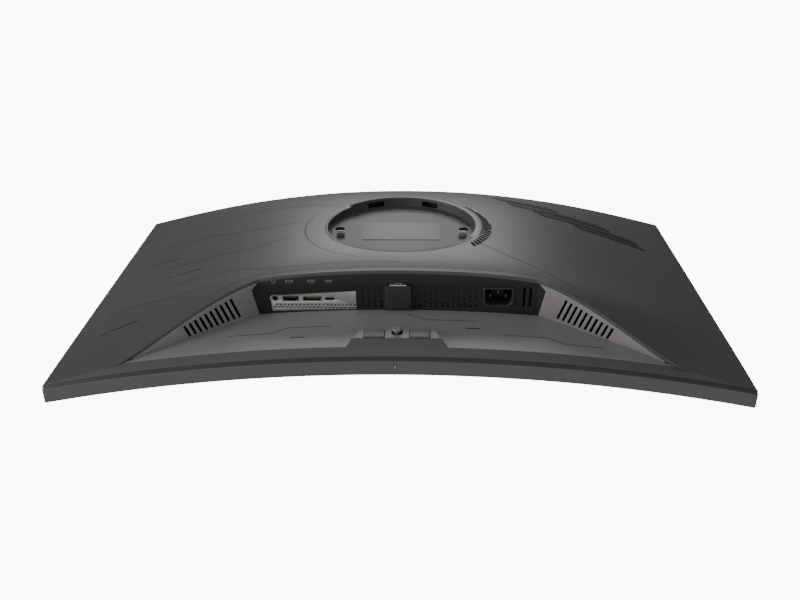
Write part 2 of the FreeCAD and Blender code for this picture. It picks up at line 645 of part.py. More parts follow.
def socket(name, x, w, h, tongue_h, z0, depth_in, label):
    b = slab(name, box_pts(x - w / 2, PL - h / 2, x + w / 2, PL + h / 2), z0, depth_in)
    sk = sketch(b, name + "_mouth", "XY_Plane", z0)
    rect(sk, x - w / 2 + 0.5, PL - h / 2 + 0.5, x + w / 2 - 0.5, PL + h / 2 - 0.5)
    pocket(b, sk, name + "_pocket", depth_in - 1.5, back=True)
    sk2 = sketch(b, name + "_tongue", "XY_Plane", z0 + 1.0)
    rect(sk2, x - w / 2 + 2.0, PL - tongue_h / 2, x + w / 2 - 2.0, PL + tongue_h / 2)
    pad(b, sk2, name + "_tongue_pad", depth_in - 1.5)
    out(b, label)


Z0 = BL + D["bay_thick"] - 0.1
socket("hdmi_socket", 97.4, 14.6, 5.4, 1.4, Z0, 13.0, "hdmi_socket")
socket("displayport_socket", 77.9, 16.6, 4.8, 1.4, Z0, 13.0, "displayport_socket")
socket("usb_c_socket", 62.1, 9.0, 3.2, 0.7, Z0, 10.0, "usb_c_socket")
jack = slab("headphone_jack", box_pts(107.9, 28.1, 115.3, 35.9), BL + D["bay_thick"] + 1.1, 12.0)
jk = sketch(jack, "jack_barrel", "XY_Plane", BL + D["bay_thick"] - 0.2)
circ(jk, 111.6, PL, 3.0)
pad(jack, jk, "jack_barrel_pad", 2.0)
jk2 = sketch(jack, "jack_bore", "XY_Plane", BL + D["bay_thick"] - 0.5)
circ(jk2, 111.6, PL, 1.8)
pocket(jack, jk2, "jack_bore_pocket", 12.0, back=True)
out(jack, "headphone_jack")

IX, IY = D["inlet_x"], D["inlet_y"]
inlet = slab("ac_inlet", [(IX - 14.1, IY - 6.0), (IX - 10.5, IY - 9.7), (IX + 10.5, IY - 9.7),
                          (IX + 14.1, IY - 6.0), (IX + 14.1, IY + 9.7), (IX - 14.1, IY + 9.7)],
             BL - 0.6, 19.0)
isk = sketch(inlet, "inlet_mouth", "XY_Plane", BL - 0.6)
loop(isk, [(IX - 12.1, IY - 4.6), (IX - 8.6, IY - 8.1), (IX + 8.6, IY - 8.1), (IX + 12.1, IY - 4.6),
           (IX + 12.1, IY + 8.1), (IX - 12.1, IY + 8.1)])
pocket(inlet, isk, "inlet_cavity", 16.5, back=True)
isk2 = sketch(inlet, "inlet_pin_holes", "XY_Plane", BL - 0.6)
PINS = [(IX - 7.0, IY - 1.5), (IX + 7.0, IY - 1.5), (IX, IY + 2.5)]
for (x, y) in PINS:
    rect(isk2, x - 1.1, y - 2.1, x + 1.1, y + 2.1)
pocket(inlet, isk2, "inlet_pin_pocket", 19.0, through=True)
out(inlet, "ac_inlet")
pins = [pbox("inlet_pin_%d" % i, x - 1.0, x + 1.0, y - 2.0, y + 2.0, BL + 1.6, BL + 22.5)
        for i, (x, y) in enumerate(PINS)]
out(group("inlet_pins", pins), "inlet_pins")
tab = slab("inlet_clip", box_pts(IX - 18.0, IY - 6, IX - 14.25, IY + 6), BL + D["bay_thick"] + 0.15, 1.0)
tk = sketch(tab, "inlet_clip_wall", "XY_Plane", BL + D["bay_thick"] + 0.15)
rect(tk, IX - 15.5, IY - 6, IX - 14.25, IY + 6)
pad(tab, tk, "inlet_clip_wall_pad", 10.0)
out(tab, "inlet_clip")

PBL = D["power_board_level"]
pb = plate("power_board", [(-140, -102), (-12, -102), (-12, -50), (-140, -50)], PBL, D["board_thick"],
           holes=[(x, z, 1.6) for (x, z) in BOARD_POWER], windows=[(IX - 16, -101.9 + 0.4, IX + 16, -84)],
           y_expr="dims.power_board_level", t_expr="dims.board_thick")
out(pb, "power_board")
PT = PBL + D["board_thick"] + 0.05
out(group("transformer", [pbox("transformer_core", -72, -44, PT, PT + 15, -86, -62),
                          ]), "transformer")
coil = pbox("transformer_coil", -67, -49, PT, PT + 12, -61.8, -57)
caps = [pcyl("capacitor_%d" % i, (x, PT, z), (0, 1, 0), r, h) for i, (x, z, r, h) in enumerate(
    [(-122, -70, 7.0, 14.0), (-108, -66, 5.0, 12.0), (-34, -80, 5.0, 14.0), (-34, -66, 4.0, 12.0), (-90, -66, 4.0, 10.0)])]
out(group("capacitors", caps), "capacitors")
ph = plate("power_heatsink", box_pts(-112, -56.5, -80, -54.5), PT, 12.0)
out(ph, "power_heatsink")
out(group("transformer_winding", [coil]), "transformer_winding")

scr = []
for i, (x, z) in enumerate(BOARD_MAIN):
    scr.append(fuse("main_screw_%d" % i, [pcyl("main_shank_%d" % i, (x, 21.0, z), (0, 1, 0), 1.2, 7.0),
                                          pcyl("main_head_%d" % i, (x, MT, z), (0, 1, 0), 2.6, 1.5)]))
for i, (x, z) in enumerate(BOARD_POWER):
    scr.append(fuse("power_screw_%d" % i, [pcyl("power_shank_%d" % i, (x, 18.9, z), (0, 1, 0), 1.2, 4.2),
                                           pcyl("power_head_%d" % i, (x, PT, z), (0, 1, 0), 2.6, 1.5)]))
out(group("board_screws", scr), "board_screws")

# source driver strip below the chassis and its ribbon to the main board
sb = plate("source_board", box_pts(-110, -164, 110, -150), 8.6, 1.0)
out(sb, "source_board")
rb = bar("panel_ribbon", [(9.7, -157), (10.0, -157), (10.0, -104.5), (25.9, -104.5), (25.9, -96.0),
                          (25.6, -96.0), (25.6, -104.2), (9.7, -104.2)], 18.5, 17)
out(rb, "panel_ribbon")


# two insulated leads from the inlet's outer blades down to the power board
def lead(tag, x, y):
    b = body("lead_" + tag)
    path = sketch(b, "lead_path_" + tag, "YZ_Plane", x)
    z0, z1, r = BL + 22.7, BL + 27.0, 3.0
    path.addGeometry(Part.LineSegment(V(y, z0, 0), V(y, z1, 0)), False)
    path.addGeometry(Part.ArcOfCircle(Part.Circle(V(y - r, z1, 0), V(0, 0, 1), r), 0, math.pi / 2), False)
    path.addGeometry(Part.LineSegment(V(y - r, z1 + r, 0), V(PT + 0.1, z1 + r, 0)), False)
    path.addConstraint(Sketcher.Constraint("Coincident", 0, 2, 1, 1))
    path.addConstraint(Sketcher.Constraint("Coincident", 1, 2, 2, 1))
    prof = sketch(b, "lead_section_" + tag, "XY_Plane", z0)
    circ(prof, x, y, 1.0)
    p = b.newObject("PartDesign::AdditivePipe", "lead_pipe_" + tag)
    p.Profile = prof
    p.Spine = path
    b.Tip = p
    return b


wires = group("mains_wires", [lead("live", PINS[0][0], PINS[0][1]), lead("neutral", PINS[1][0], PINS[1][1])])
out(wires, "mains_wires")

# ------------------------------------------------------------------ buttons
bb = plate("button_board", box_pts(-40, -162.5, 40, -144.8), 11.6, 1.2)
out(bb, "button_board")
tact = [pbox("tact_%d" % (sx + 1), sx * KX - 3, sx * KX + 3, 12.85, 15.0, KZ - 3, KZ + 3) for sx in (-1, 1)]
out(group("tact_switches", tact), "tact_switches")
KW, KH = D["key_width"], D["key_height"]
for tag, sx in (("left", -1), ("right", 1)):
    b = plate("key_" + tag, box_pts(sx * KX - KW / 2, KZ - KH / 2, sx * KX + KW / 2, KZ + KH / 2), 20.5, 4.2)
    k = sketch(b, "key_stem_" + tag, "XZ_Plane", -16.0)
    circ(k, sx * KX, KZ, 2.2)
    pad(b, k, "key_stem_pad_" + tag, 5.0, back=True)
    out(b, "key_" + tag)
# joystick: base, a gimbal ring on X pins, a rocker on Z pins inside it
PIV = 14.4
jb = plate("joystick_base", box_pts(-6.5, SZ - 6.5, 6.5, SZ + 6.5), 12.85, 3.0,
           windows=[(-5.0, SZ - 5.0, 5.0, SZ + 5.0)])
jbs = sketch(jb, "base_bores", "YZ_Plane", -7.0)
circ(jbs, PIV, SZ, 0.56)
pocket(jb, jbs, "base_bore_cut", 14.0, back=True)
out(jb, "joystick_base")
gim = plate("joystick_gimbal", box_pts(-4.5, SZ - 4.5, 4.5, SZ + 4.5), 13.7, 1.4,
            windows=[(-3.0, SZ - 3.0, 3.0, SZ + 3.0)])
for tag, x0 in (("a", -5.8), ("b", 4.2)):
    g = sketch(gim, "gimbal_pin_" + tag, "YZ_Plane", x0)
    circ(g, PIV, SZ, 0.5)
    pad(gim, g, "gimbal_pin_pad_" + tag, 1.6)
gb = sketch(gim, "gimbal_bores", "XY_Plane", SZ - 5.0)
circ(gb, 0, PIV, 0.56)
pocket(gim, gb, "gimbal_bore_cut", 10.0, back=True)
out(gim, "joystick_gimbal")
stem = plate("joystick_stem", box_pts(-2.4, SZ - 2.4, 2.4, SZ + 2.4), 13.7, 1.4)
st = sketch(stem, "stem_post", "XZ_Plane", -15.0)
circ(st, 0, SZ, D["stem_radius"], "dims.stem_radius", "post")
pad(stem, st, "stem_post_pad", 6.5, back=True)
for tag, z0 in (("a", SZ - 3.9), ("b", SZ + 2.2)):
    g = sketch(stem, "stem_pin_" + tag, "XY_Plane", z0)
    circ(g, 0, PIV, 0.5)
    pad(stem, g, "stem_pin_pad_" + tag, 1.7)
out(stem, "joystick_stem")
cap = body("joystick_cap")
ck = sketch(cap, "cap_section", "YZ_Plane", 0.0)
loop(ck, [(18.6, SZ + 1.75), (18.6, SZ + 2.4), (24.9, SZ + 2.4), (26.2, SZ + 4.3), (27.6, SZ + 4.3),
          (28.4, SZ + 3.4), (28.4, SZ), (23.2, SZ), (23.2, SZ + 1.75)])
rv = cap.newObject("PartDesign::Revolution", "cap_turn")
rv.Profile = ck
ax = ck.addGeometry(Part.LineSegment(V(10, SZ, 0), V(40, SZ, 0)), True)
rv.ReferenceAxis = (ck, ["Axis0"])
rv.Angle = 360.0
cap.Tip = rv
out(cap, "joystick_cap")

# plain ornament of four slanted bars on the rear surface, right upper side as seen from behind
orn = []
for i, (x0, z0, ln) in enumerate([(-104.0, 146.0, 62.0), (-118.0, 128.0, 104.0), (-146.0, 110.0, 104.0),
                                  (-186.0, 92.0, 70.0)]):
    pts = [(x0, z0), (x0 - ln, z0 - 0.16 * ln), (x0 - ln - 9, z0 - 0.16 * ln - 11), (x0 - 9, z0 - 11)]
    orn.append(plate("ornament_bar_%d" % i, pts, -20, 90))
orn_g = group("ornament_prisms", orn)
orn_t = common("ornament_top", orn_g, copy_of("ornament_field", field, 0.6))
out(cut("rear_ornament", orn_t, copy_of("ornament_seat", field, 0.03)), "rear_ornament")

doc.recompute()

# -------------------------------------------------------------------- export
bad = []
for o in exports:
    if any(t in ("Invalid", "Error") for t in o.State):
        bad.append((o.Label, "state", o.State))
        continue
    if o.Shape.isNull() or not o.Shape.isValid() or not o.Shape.Solids:
        bad.append((o.Label, "shape", len(o.Shape.Solids)))
        continue
    o.Shape.exportStep("parts/%s.step" % o.Label)
    bb_ = o.Shape.BoundBox
    print("%-22s solids %2d  X %.1f %.1f  Y %.1f %.1f  Z %.1f %.1f" % (
        o.Label, len(o.Shape.Solids), bb_.XMin, bb_.XMax, bb_.YMin, bb_.YMax, bb_.ZMin, bb_.ZMax))
print("pieces", len(exports))
if bad:
    raise RuntimeError("not exported: %s" % bad)
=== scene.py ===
import json
import math

import bmesh
import bpy
import numpy as np
from mathutils import Matrix, Vector


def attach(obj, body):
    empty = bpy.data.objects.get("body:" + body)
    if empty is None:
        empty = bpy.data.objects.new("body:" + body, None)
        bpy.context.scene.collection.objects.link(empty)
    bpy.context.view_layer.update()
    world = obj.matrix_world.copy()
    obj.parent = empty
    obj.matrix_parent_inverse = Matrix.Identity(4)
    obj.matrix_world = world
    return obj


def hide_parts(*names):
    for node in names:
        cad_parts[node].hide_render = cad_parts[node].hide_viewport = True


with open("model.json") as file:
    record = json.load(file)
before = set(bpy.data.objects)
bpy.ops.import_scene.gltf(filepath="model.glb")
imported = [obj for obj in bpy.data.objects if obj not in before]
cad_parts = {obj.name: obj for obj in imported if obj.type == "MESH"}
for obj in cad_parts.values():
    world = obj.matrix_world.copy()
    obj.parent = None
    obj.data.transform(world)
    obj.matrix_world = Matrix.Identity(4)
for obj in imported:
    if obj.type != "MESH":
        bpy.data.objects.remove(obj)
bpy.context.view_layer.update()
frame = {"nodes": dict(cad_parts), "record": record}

# Working numbers are millimetres about the middle of the screen front (X across,
# Y to the back, Z up).  The frame's origin is at (0, 35, 36) of those.
OX, OY, OZ = 0.0, 35.0, 36.0
R, HW, HH = 1500.0, 306.0, 183.0
MH, RR, RW, FLOOR = 36.0, 76.5, 2.8, 35.0
BL, BH, WT, WL = -108.5, 124.5, 238.0, -170.0
SZ, KZ, KX = -152.0, -154.3, 19.5
PL, IX, IY = 32.0, -89.8, 35.5


def to_frame(v):
    v = np.asarray(v, float).reshape(-1, 3)
    return (v - np.array([OX, OY, OZ])) / 1000.0


def cyl(x, off):
    # Y of the sheet that lies off behind the screen front
    return np.sqrt((R + off) ** 2 - np.asarray(x, float) ** 2) - R


# ------------------------------------------------------------ rear surface
DEPTH_X = np.array([0.0, 63.0, 126.0, 180.0, 236.0, 280.0, 306.0])
DEPTH_Z = np.array([-186.0, -173.5, -140.0, -109.0, -80.0, -45.0, -5.0, 35.0, 80.0, 115.0,
                    140.0, 160.0, 183.0])
DEPTH = np.array([
    [45.0, 43.5, 37.0, 26.0, 18.6, 16.9, 16.1],
    [53.0, 51.5, 45.0, 32.0, 21.4, 18.0, 16.3],
    [62.0, 61.0, 54.5, 43.5, 29.5, 20.5, 16.5],
    [62.0, 61.4, 57.8, 48.8, 34.6, 22.6, 16.4],
    [55.5, 54.9, 51.6, 45.0, 34.2, 23.2, 16.2],
    [50.5, 50.0, 46.9, 41.0, 31.9, 22.4, 16.0],
    [48.5, 48.0, 44.8, 39.0, 30.2, 21.6, 15.7],
    [47.0, 46.4, 43.1, 37.3, 28.8, 20.9, 15.5],
    [45.0, 44.3, 40.8, 35.1, 27.0, 19.9, 15.1],
    [42.3, 41.5, 38.0, 32.6, 25.1, 18.8, 14.8],
    [38.7, 37.9, 34.6, 29.8, 23.2, 17.8, 14.6],
    [34.0, 33.4, 30.6, 26.8, 21.4, 16.9, 14.4],
    [26.1, 25.7, 24.1, 21.9, 18.6, 15.7, 14.2],
])


def second(xs, ys, flat):
    n = len(xs)
    h = np.diff(xs)
    A = np.zeros((n, n))
    B = np.zeros((n,) + ys.shape[1:])
    A[0, 0] = A[-1, -1] = 1.0
    if flat:
        A[0, 0], A[0, 1] = 2 * h[0], h[0]
        B[0] = 6 * (ys[1] - ys[0]) / h[0]
    for i in range(1, n - 1):
        A[i, i - 1], A[i, i], A[i, i + 1] = h[i - 1], 2 * (h[i - 1] + h[i]), h[i]
        B[i] = 6 * ((ys[i + 1] - ys[i]) / h[i] - (ys[i] - ys[i - 1]) / h[i - 1])
    return np.linalg.solve(A, B)


def basis(xs, flat, q):
    # weights that turn knot values into spline values at q
    n = len(xs)
    m = second(xs, np.eye(n), flat)
    q = np.asarray(q, float)
    i = np.clip(np.searchsorted(xs, q, side="left") - 1, 0, n - 2)
    h = xs[i + 1] - xs[i]
    t, u = q - xs[i], xs[i + 1] - q
    w = (u ** 3)[:, None] * m[i] / (6 * h)[:, None] + (t ** 3)[:, None] * m[i + 1] / (6 * h)[:, None]
    w -= (u * h / 6)[:, None] * m[i] + (t * h / 6)[:, None] * m[i + 1]
    k = np.arange(len(q))
    w[k, i] += u / h
    w[k, i + 1] += t / h
    return w


def rear(x, z):
    x, z = np.broadcast_arrays(np.asarray(x, float), np.asarray(z, float))
    shape = x.shape
    x, z = x.ravel(), z.ravel()
    out = np.empty(len(x))
    step = 20000
    for s in range(0, len(x), step):
        a, b = x[s:s + step], z[s:s + step]
        wx = basis(DEPTH_X, True, np.minimum(np.abs(a), 312.0))
        wz = basis(DEPTH_Z, False, np.clip(b, -186.0, 186.0))
        out[s:s + step] = np.einsum("ij,jk,ik->i", wz, DEPTH, wx)
    return (out - (R - np.sqrt(R * R - x * x))).reshape(shape)


# --------------------------------------------------------------- materials
def new_mat(name):
    m = bpy.data.materials.new(name)
    m.use_nodes = True
    nt = m.node_tree
    nt.nodes.clear()
    out = nt.nodes.new("ShaderNodeOutputMaterial")
    b = nt.nodes.new("ShaderNodeBsdfPrincipled")
    nt.links.new(b.outputs[0], out.inputs[0])
    tc = nt.nodes.new("ShaderNodeTexCoord")
    return m, nt, b, tc


def noise(nt, tc, scale, detail=2.0, rough=0.5):
    n = nt.nodes.new("ShaderNodeTexNoise")
    n.inputs["Scale"].default_value = scale
    n.inputs["Detail"].default_value = detail
    n.inputs["Roughness"].default_value = rough
    nt.links.new(tc.outputs["Object"], n.inputs["Vector"])
    return n


def ramp(nt, src, a, b, lo=0.35, hi=0.65):
    r = nt.nodes.new("ShaderNodeValToRGB")
    r.color_ramp.elements[0].position = lo
    r.color_ramp.elements[1].position = hi
    r.color_ramp.elements[0].color = (*a, 1)
    r.color_ramp.elements[1].color = (*b, 1)
    nt.links.new(src, r.inputs[0])
    return r


def spread(nt, src, lo, hi):
    r = nt.nodes.new("ShaderNodeMapRange")
    r.inputs["From Min"].default_value = 0.3
    r.inputs["From Max"].default_value = 0.7
    r.inputs["To Min"].default_value = lo
    r.inputs["To Max"].default_value = hi
    nt.links.new(src, r.inputs["Value"])
    return r


def plastic(name, col, rough=0.5, grain=0.15, size=2600.0, var=0.05, spec=0.45, blotch=9.0, coat=0.0):
    m, nt, b, tc = new_mat(name)
    big = noise(nt, tc, blotch, 4.0, 0.55)
    c0 = tuple(max(0.0, c * (1 - var)) for c in col)
    c1 = tuple(min(1.0, c * (1 + var)) for c in col)
    nt.links.new(ramp(nt, big.outputs["Fac"], c0, c1).outputs["Color"], b.inputs["Base Color"])
    fine = noise(nt, tc, size, 1.5)
    nt.links.new(spread(nt, fine.outputs["Fac"], rough - 0.05, rough + 0.06).outputs[0], b.inputs["Roughness"])
    bump = nt.nodes.new("ShaderNodeBump")
    bump.inputs["Strength"].default_value = grain
    bump.inputs["Distance"].default_value = 0.0001
    nt.links.new(fine.outputs["Fac"], bump.inputs["Height"])
    nt.links.new(bump.outputs["Normal"], b.inputs["Normal"])
    b.inputs["Specular IOR Level"].default_value = spec
    if coat:
        b.inputs["Coat Weight"].default_value = coat
        b.inputs["Coat Roughness"].default_value = 0.15
    return m


def metal(name, col, rough=0.32, grain=0.12, stretch=(1, 1, 1), size=900.0, var=0.08, metallic=1.0):
    m, nt, b, tc = new_mat(name)
    mp = nt.nodes.new("ShaderNodeMapping")
    mp.inputs["Scale"].default_value = stretch
    nt.links.new(tc.outputs["Object"], mp.inputs["Vector"])
    n = nt.nodes.new("ShaderNodeTexNoise")
    n.inputs["Scale"].default_value = size
    n.inputs["Detail"].default_value = 3.0
    nt.links.new(mp.outputs[0], n.inputs["Vector"])
    c0 = tuple(c * (1 - var) for c in col)
    c1 = tuple(min(1, c * (1 + var)) for c in col)
    nt.links.new(ramp(nt, n.outputs["Fac"], c0, c1).outputs["Color"], b.inputs["Base Color"])
    nt.links.new(spread(nt, n.outputs["Fac"], rough - 0.06, rough + 0.08).outputs[0], b.inputs["Roughness"])
    bump = nt.nodes.new("ShaderNodeBump")
    bump.inputs["Strength"].default_value = grain
    bump.inputs["Distance"].default_value = 0.00005
    nt.links.new(n.outputs["Fac"], bump.inputs["Height"])
    nt.links.new(bump.outputs["Normal"], b.inputs["Normal"])
    b.inputs["Metallic"].default_value = metallic
    return m


MAT = {
    "shell_grey": plastic("shell_grey", (0.062, 0.0625, 0.0645), 0.42, 0.10, 2600, 0.03),
    "cup_plastic": plastic("cup_plastic", (0.0681, 0.0681, 0.0698), 0.55, 0.10, 2600, 0.03),
    "collar_plastic": plastic("collar_plastic", (0.075, 0.0755, 0.0775), 0.45, 0.08, 2600, 0.03),
    "lug_plastic": plastic("lug_plastic", (0.22, 0.22, 0.225), 0.5, 0.12),
    "blank_plate": plastic("blank_plate", (0.0702, 0.0702, 0.0718), 0.5, 0.05, 1500, 0.02),
    "lower_plastic": plastic("lower_plastic", (0.200, 0.201, 0.205), 0.42, 0.10, 2600, 0.03),
    "bay_plastic": plastic("bay_plastic", (0.0174, 0.0170, 0.0167), 0.6, 0.12, 2300, 0.05, 0.3),
    "screen_metal": metal("screen_metal", (0.10, 0.10, 0.10), 0.5, 0.1, metallic=0.4),
    "plated_metal": metal("plated_metal", (0.62, 0.62, 0.62), 0.3, 0.1, (1, 6, 1)),
    "wing_plastic": plastic("wing_plastic", (0.215, 0.204, 0.197), 0.46, 0.12, 2300, 0.04),
    "bezel_plastic": plastic("bezel_plastic", (0.0885, 0.087, 0.0865), 0.40, 0.08, 2600, 0.04),
    "lens": plastic("lens", (0.30, 0.30, 0.31), 0.12, 0.02, 900, 0.04, 0.5),
    "lcd_glass": plastic("lcd_glass", (0.006, 0.006, 0.007), 0.22, 0.03, 3800, 0.15, 0.5),
    "film": plastic("film", (0.75, 0.76, 0.78), 0.4, 0.02),
    "acrylic": plastic("acrylic", (0.7, 0.75, 0.76), 0.15, 0.02),
    "reflector": plastic("reflector", (0.85, 0.85, 0.85), 0.6, 0.02),
    "led_strip": plastic("led_strip", (0.8, 0.78, 0.6), 0.5, 0.1),
    "frame_plastic": plastic("frame_plastic", (0.03, 0.03, 0.03), 0.5),
    "chassis_steel": metal("chassis_steel", (0.25, 0.25, 0.26), 0.5),
    "tray_steel": metal("tray_steel", (0.22, 0.22, 0.23), 0.5),
    "bracket_steel": metal("bracket_steel", (0.3, 0.3, 0.3), 0.4),
    "insert_brass": metal("insert_brass", (0.45, 0.34, 0.16), 0.35),
    "screw_steel": metal("screw_steel", (0.4, 0.4, 0.41), 0.3),
    "pcb_green": plastic("pcb_green", (0.01, 0.07, 0.03), 0.35, 0.1, 500, 0.3),
    "chip_black": plastic("chip_black", (0.02, 0.02, 0.02), 0.5),
    "heatsink_alu": metal("heatsink_alu", (0.4, 0.4, 0.42), 0.4),
    "io_steel": metal("io_steel", (0.66, 0.665, 0.68), 0.36, 0.10, (6, 1, 1), 500, 0.05, 0.85),
    "socket_metal": metal("socket_metal", (0.40, 0.40, 0.40), 0.3, 0.08, (1, 1, 3)),
    "jack_plastic": plastic("jack_plastic", (0.04, 0.04, 0.04), 0.4),
    "inlet_plastic": plastic("inlet_plastic", (0.032, 0.032, 0.032), 0.38, 0.1, 1800),
    "pin_metal": metal("pin_metal", (0.1190, 0.1190, 0.1190), 0.3),
    "clip_metal": metal("clip_metal", (0.5, 0.5, 0.5), 0.3),
    "pcb_brown": plastic("pcb_brown", (0.12, 0.07, 0.03), 0.5, 0.1, 500, 0.2),
    "ferrite": plastic("ferrite", (0.05, 0.05, 0.05), 0.5),
    "tape_yellow": plastic("tape_yellow", (0.6, 0.42, 0.04), 0.4),
    "cap_sleeve": plastic("cap_sleeve", (0.02, 0.02, 0.05), 0.3),
    "ribbon": plastic("ribbon", (0.6, 0.6, 0.6), 0.4),
    "wire_sleeve": plastic("wire_sleeve", (0.1, 0.1, 0.2), 0.4),
    "switch_plastic": plastic("switch_plastic", (0.03, 0.03, 0.03), 0.5),
    "key_plastic": plastic("key_plastic", (0.1260, 0.1268, 0.1294), 0.42, 0.08),
    "gimbal_metal": metal("gimbal_metal", (0.4, 0.4, 0.4), 0.3),
    "stem_metal": metal("stem_metal", (0.4, 0.4, 0.4), 0.3),
    "cap_plastic": plastic("cap_plastic", (0.140, 0.141, 0.144), 0.45, 0.1, 1500),
    "ornament_gloss": plastic("ornament_gloss", (0.024, 0.024, 0.026), 0.5, 0.03, 1500, 0.05, 0.25),
}
ICON = plastic("print_grey", (0.20, 0.20, 0.20), 0.5, 0.02, 1500, 0.05)
# dark colour of the etched lines, also used as painted shade in the groove outside the collar
ETCH_AND_SHADE = plastic("etch_and_groove_shade", (0.018, 0.018, 0.019), 0.7, 0.02, 1500, 0.05, 0.15)
ETCH_L = plastic("etch_light", (0.25, 0.25, 0.255), 0.35, 0.02, 1500, 0.05)
# near-black: the real colour of socket backs, the jack end and the inlet floor, and also painted shade in the comb
# slits, the key and joystick openings, behind the hook windows and keyholes, under the latch lugs and round the LED
# lens
BLACK_AND_SHADE = plastic("port_black_and_shade", (0.008, 0.008, 0.008), 0.6, 0.05)
# darker copy of the lower plastic for the chin strip and the platform's downward face: painted shade
CHIN_SHADE = plastic("chin_painted_shade", (0.0725, 0.0715, 0.0715), 0.58, 0.10, 2600, 0.03)
# dark colour on the bezel's bottom bevel lip: painted shade of the seam between chin and bezel
SEAM_SHADE = plastic("seam_painted_shade", (0.028, 0.027, 0.026), 0.5, 0.05, 2600, 0.03)
MASK = plastic("mask_black", (0.012, 0.012, 0.012), 0.30, 0.03, 1500, 0.05)
GOLD = metal("contact_gold", (0.30, 0.26, 0.10), 0.35, 0.1)
SLOT_OF = {s["node"]: s["material_slot"] for s in frame["record"]["subparts"]}
for node, ob in frame["nodes"].items():
    ob.data.materials.clear()
    ob.data.materials.append(MAT[SLOT_OF[node]])


# ------------------------------------------------------------ mesh helpers
def finish_mesh(me, sharp):
    bm = bmesh.new()
    bm.from_mesh(me)
    bmesh.ops.remove_doubles(bm, verts=bm.verts, dist=2e-6)
    bmesh.ops.dissolve_degenerate(bm, edges=bm.edges, dist=1e-7)
    for f in bm.faces:
        f.smooth = True
    lim = math.radians(sharp)
    for e in bm.edges:
        if len(e.link_faces) == 2:
            e.smooth = e.calc_face_angle(0.0) < lim
        else:
            e.smooth = False
    bm.to_mesh(me)
    bm.free()
    me.update()


def place(name, me, mat, body="housing", nodes=(), sharp=30.0):
    finish_mesh(me, sharp)
    me.materials.clear()
    me.materials.append(mat)
    ob = bpy.data.objects.new(name, me)
    bpy.context.scene.collection.objects.link(ob)
    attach(ob, body)
    if nodes:
        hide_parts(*nodes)
    return ob


def mesh(name, verts, faces, mat, body="housing", nodes=(), sharp=30.0, outward=None):
    me = bpy.data.meshes.new(name)
    me.from_pydata([tuple(v) for v in to_frame(verts)], [], [tuple(int(i) for i in f) for f in faces])
    me.update()
    return place(name, me, mat, body, nodes, sharp)


def grid_faces(nu, nv, wrap_u=False, base=0):
    # vertex (i, j) is at base + i * nv + j
    out = []
    for i in range(nu if wrap_u else nu - 1):
        k = (i + 1) % nu
        for j in range(nv - 1):
            out.append((base + i * nv + j, base + k * nv + j, base + k * nv + j + 1, base + i * nv + j + 1))
    return out


def arc2(cx, cy, r, a0, a1, n):
    return [(cx + r * math.cos(math.radians(a0 + (a1 - a0) * i / n)),
             cy + r * math.sin(math.radians(a0 + (a1 - a0) * i / n))) for i in range(n + 1)]


def rounded(pts, radii, n=6):
    # polygon with its corners rounded
    out = []
    m = len(pts)
    if not hasattr(radii, "__len__"):
        radii = [radii] * m
    for i in range(m):
        p, a, b = (np.array(pts[i], float), np.array(pts[i - 1], float), np.array(pts[(i + 1) % m], float))
        r = radii[i]
        if r <= 0:
            out.append(tuple(p))
            continue
        da, db = (a - p) / np.linalg.norm(a - p), (b - p) / np.linalg.norm(b - p)
        half = math.acos(max(-1.0, min(1.0, float(da @ db)))) / 2
        t = r / math.tan(half)
        c = p + (da + db) / np.linalg.norm(da + db) * (r / math.sin(half))
        v0, v1 = p + da * t - c, p + db * t - c
        a0, a1 = math.atan2(v0[1], v0[0]), math.atan2(v1[1], v1[0])
        while a1 - a0 > math.pi:
            a1 -= 2 * math.pi
        while a1 - a0 < -math.pi:
            a1 += 2 * math.pi
        for k in range(n + 1):
            q = a0 + (a1 - a0) * k / n
            out.append((c[0] + r * math.cos(q), c[1] + r * math.sin(q)))
    return out


def box2(x0, y0, x1, y1, r=0.0, n=5):
    p = [(x0, y0), (x1, y0), (x1, y1), (x0, y1)]
    return rounded(p, r, n) if r > 0 else p


def plate_mesh(name, outer, holes, thick, bevel=0.2, seg=2):
    # flat plate with rounded rims, lying in local X-Y, mid-plane at 0
    cu = bpy.data.curves.new(name, "CURVE")
    cu.dimensions = "2D"
    cu.fill_mode = "BOTH"
    cu.extrude = max(0.0001, thick / 2 - bevel)
    cu.bevel_depth = bevel
    cu.bevel_resolution = seg
    cu.offset = -bevel
    for loop in [outer] + list(holes):
        sp = cu.splines.new("POLY")
        sp.points.add(len(loop) - 1)
        for i, (x, y) in enumerate(loop):
            sp.points[i].co = (x, y, 0, 1)
        sp.use_cyclic_u = True
    tmp = bpy.data.objects.new(name + "_tmp", cu)
    bpy.context.scene.collection.objects.link(tmp)
    dg = bpy.context.evaluated_depsgraph_get()
    me = bpy.data.meshes.new_from_object(tmp.evaluated_get(dg))
    bpy.data.objects.remove(tmp)
    bpy.data.curves.remove(cu)
    co = np.empty(len(me.vertices) * 3)
    me.vertices.foreach_get("co", co)
    return me, co.reshape(-1, 3)


def plate(name, outer, holes, thick, origin, ux, uy, mat, body="housing", nodes=(), bevel=0.2,
          seg=2, sharp=40.0, bend=None):
    me, co = plate_mesh(name, outer, holes, thick, bevel, seg)
    ux, uy = np.array(ux, float), np.array(uy, float)
    uz = np.cross(ux, uy)
    pts = np.array(origin, float) + co[:, :1] * ux + co[:, 1:2] * uy + co[:, 2:3] * uz
    if bend:
        pts = bend(pts)
    me.vertices.foreach_set("co", to_frame(pts).ravel())
    me.update()
    return place(name, me, mat, body, nodes, sharp)


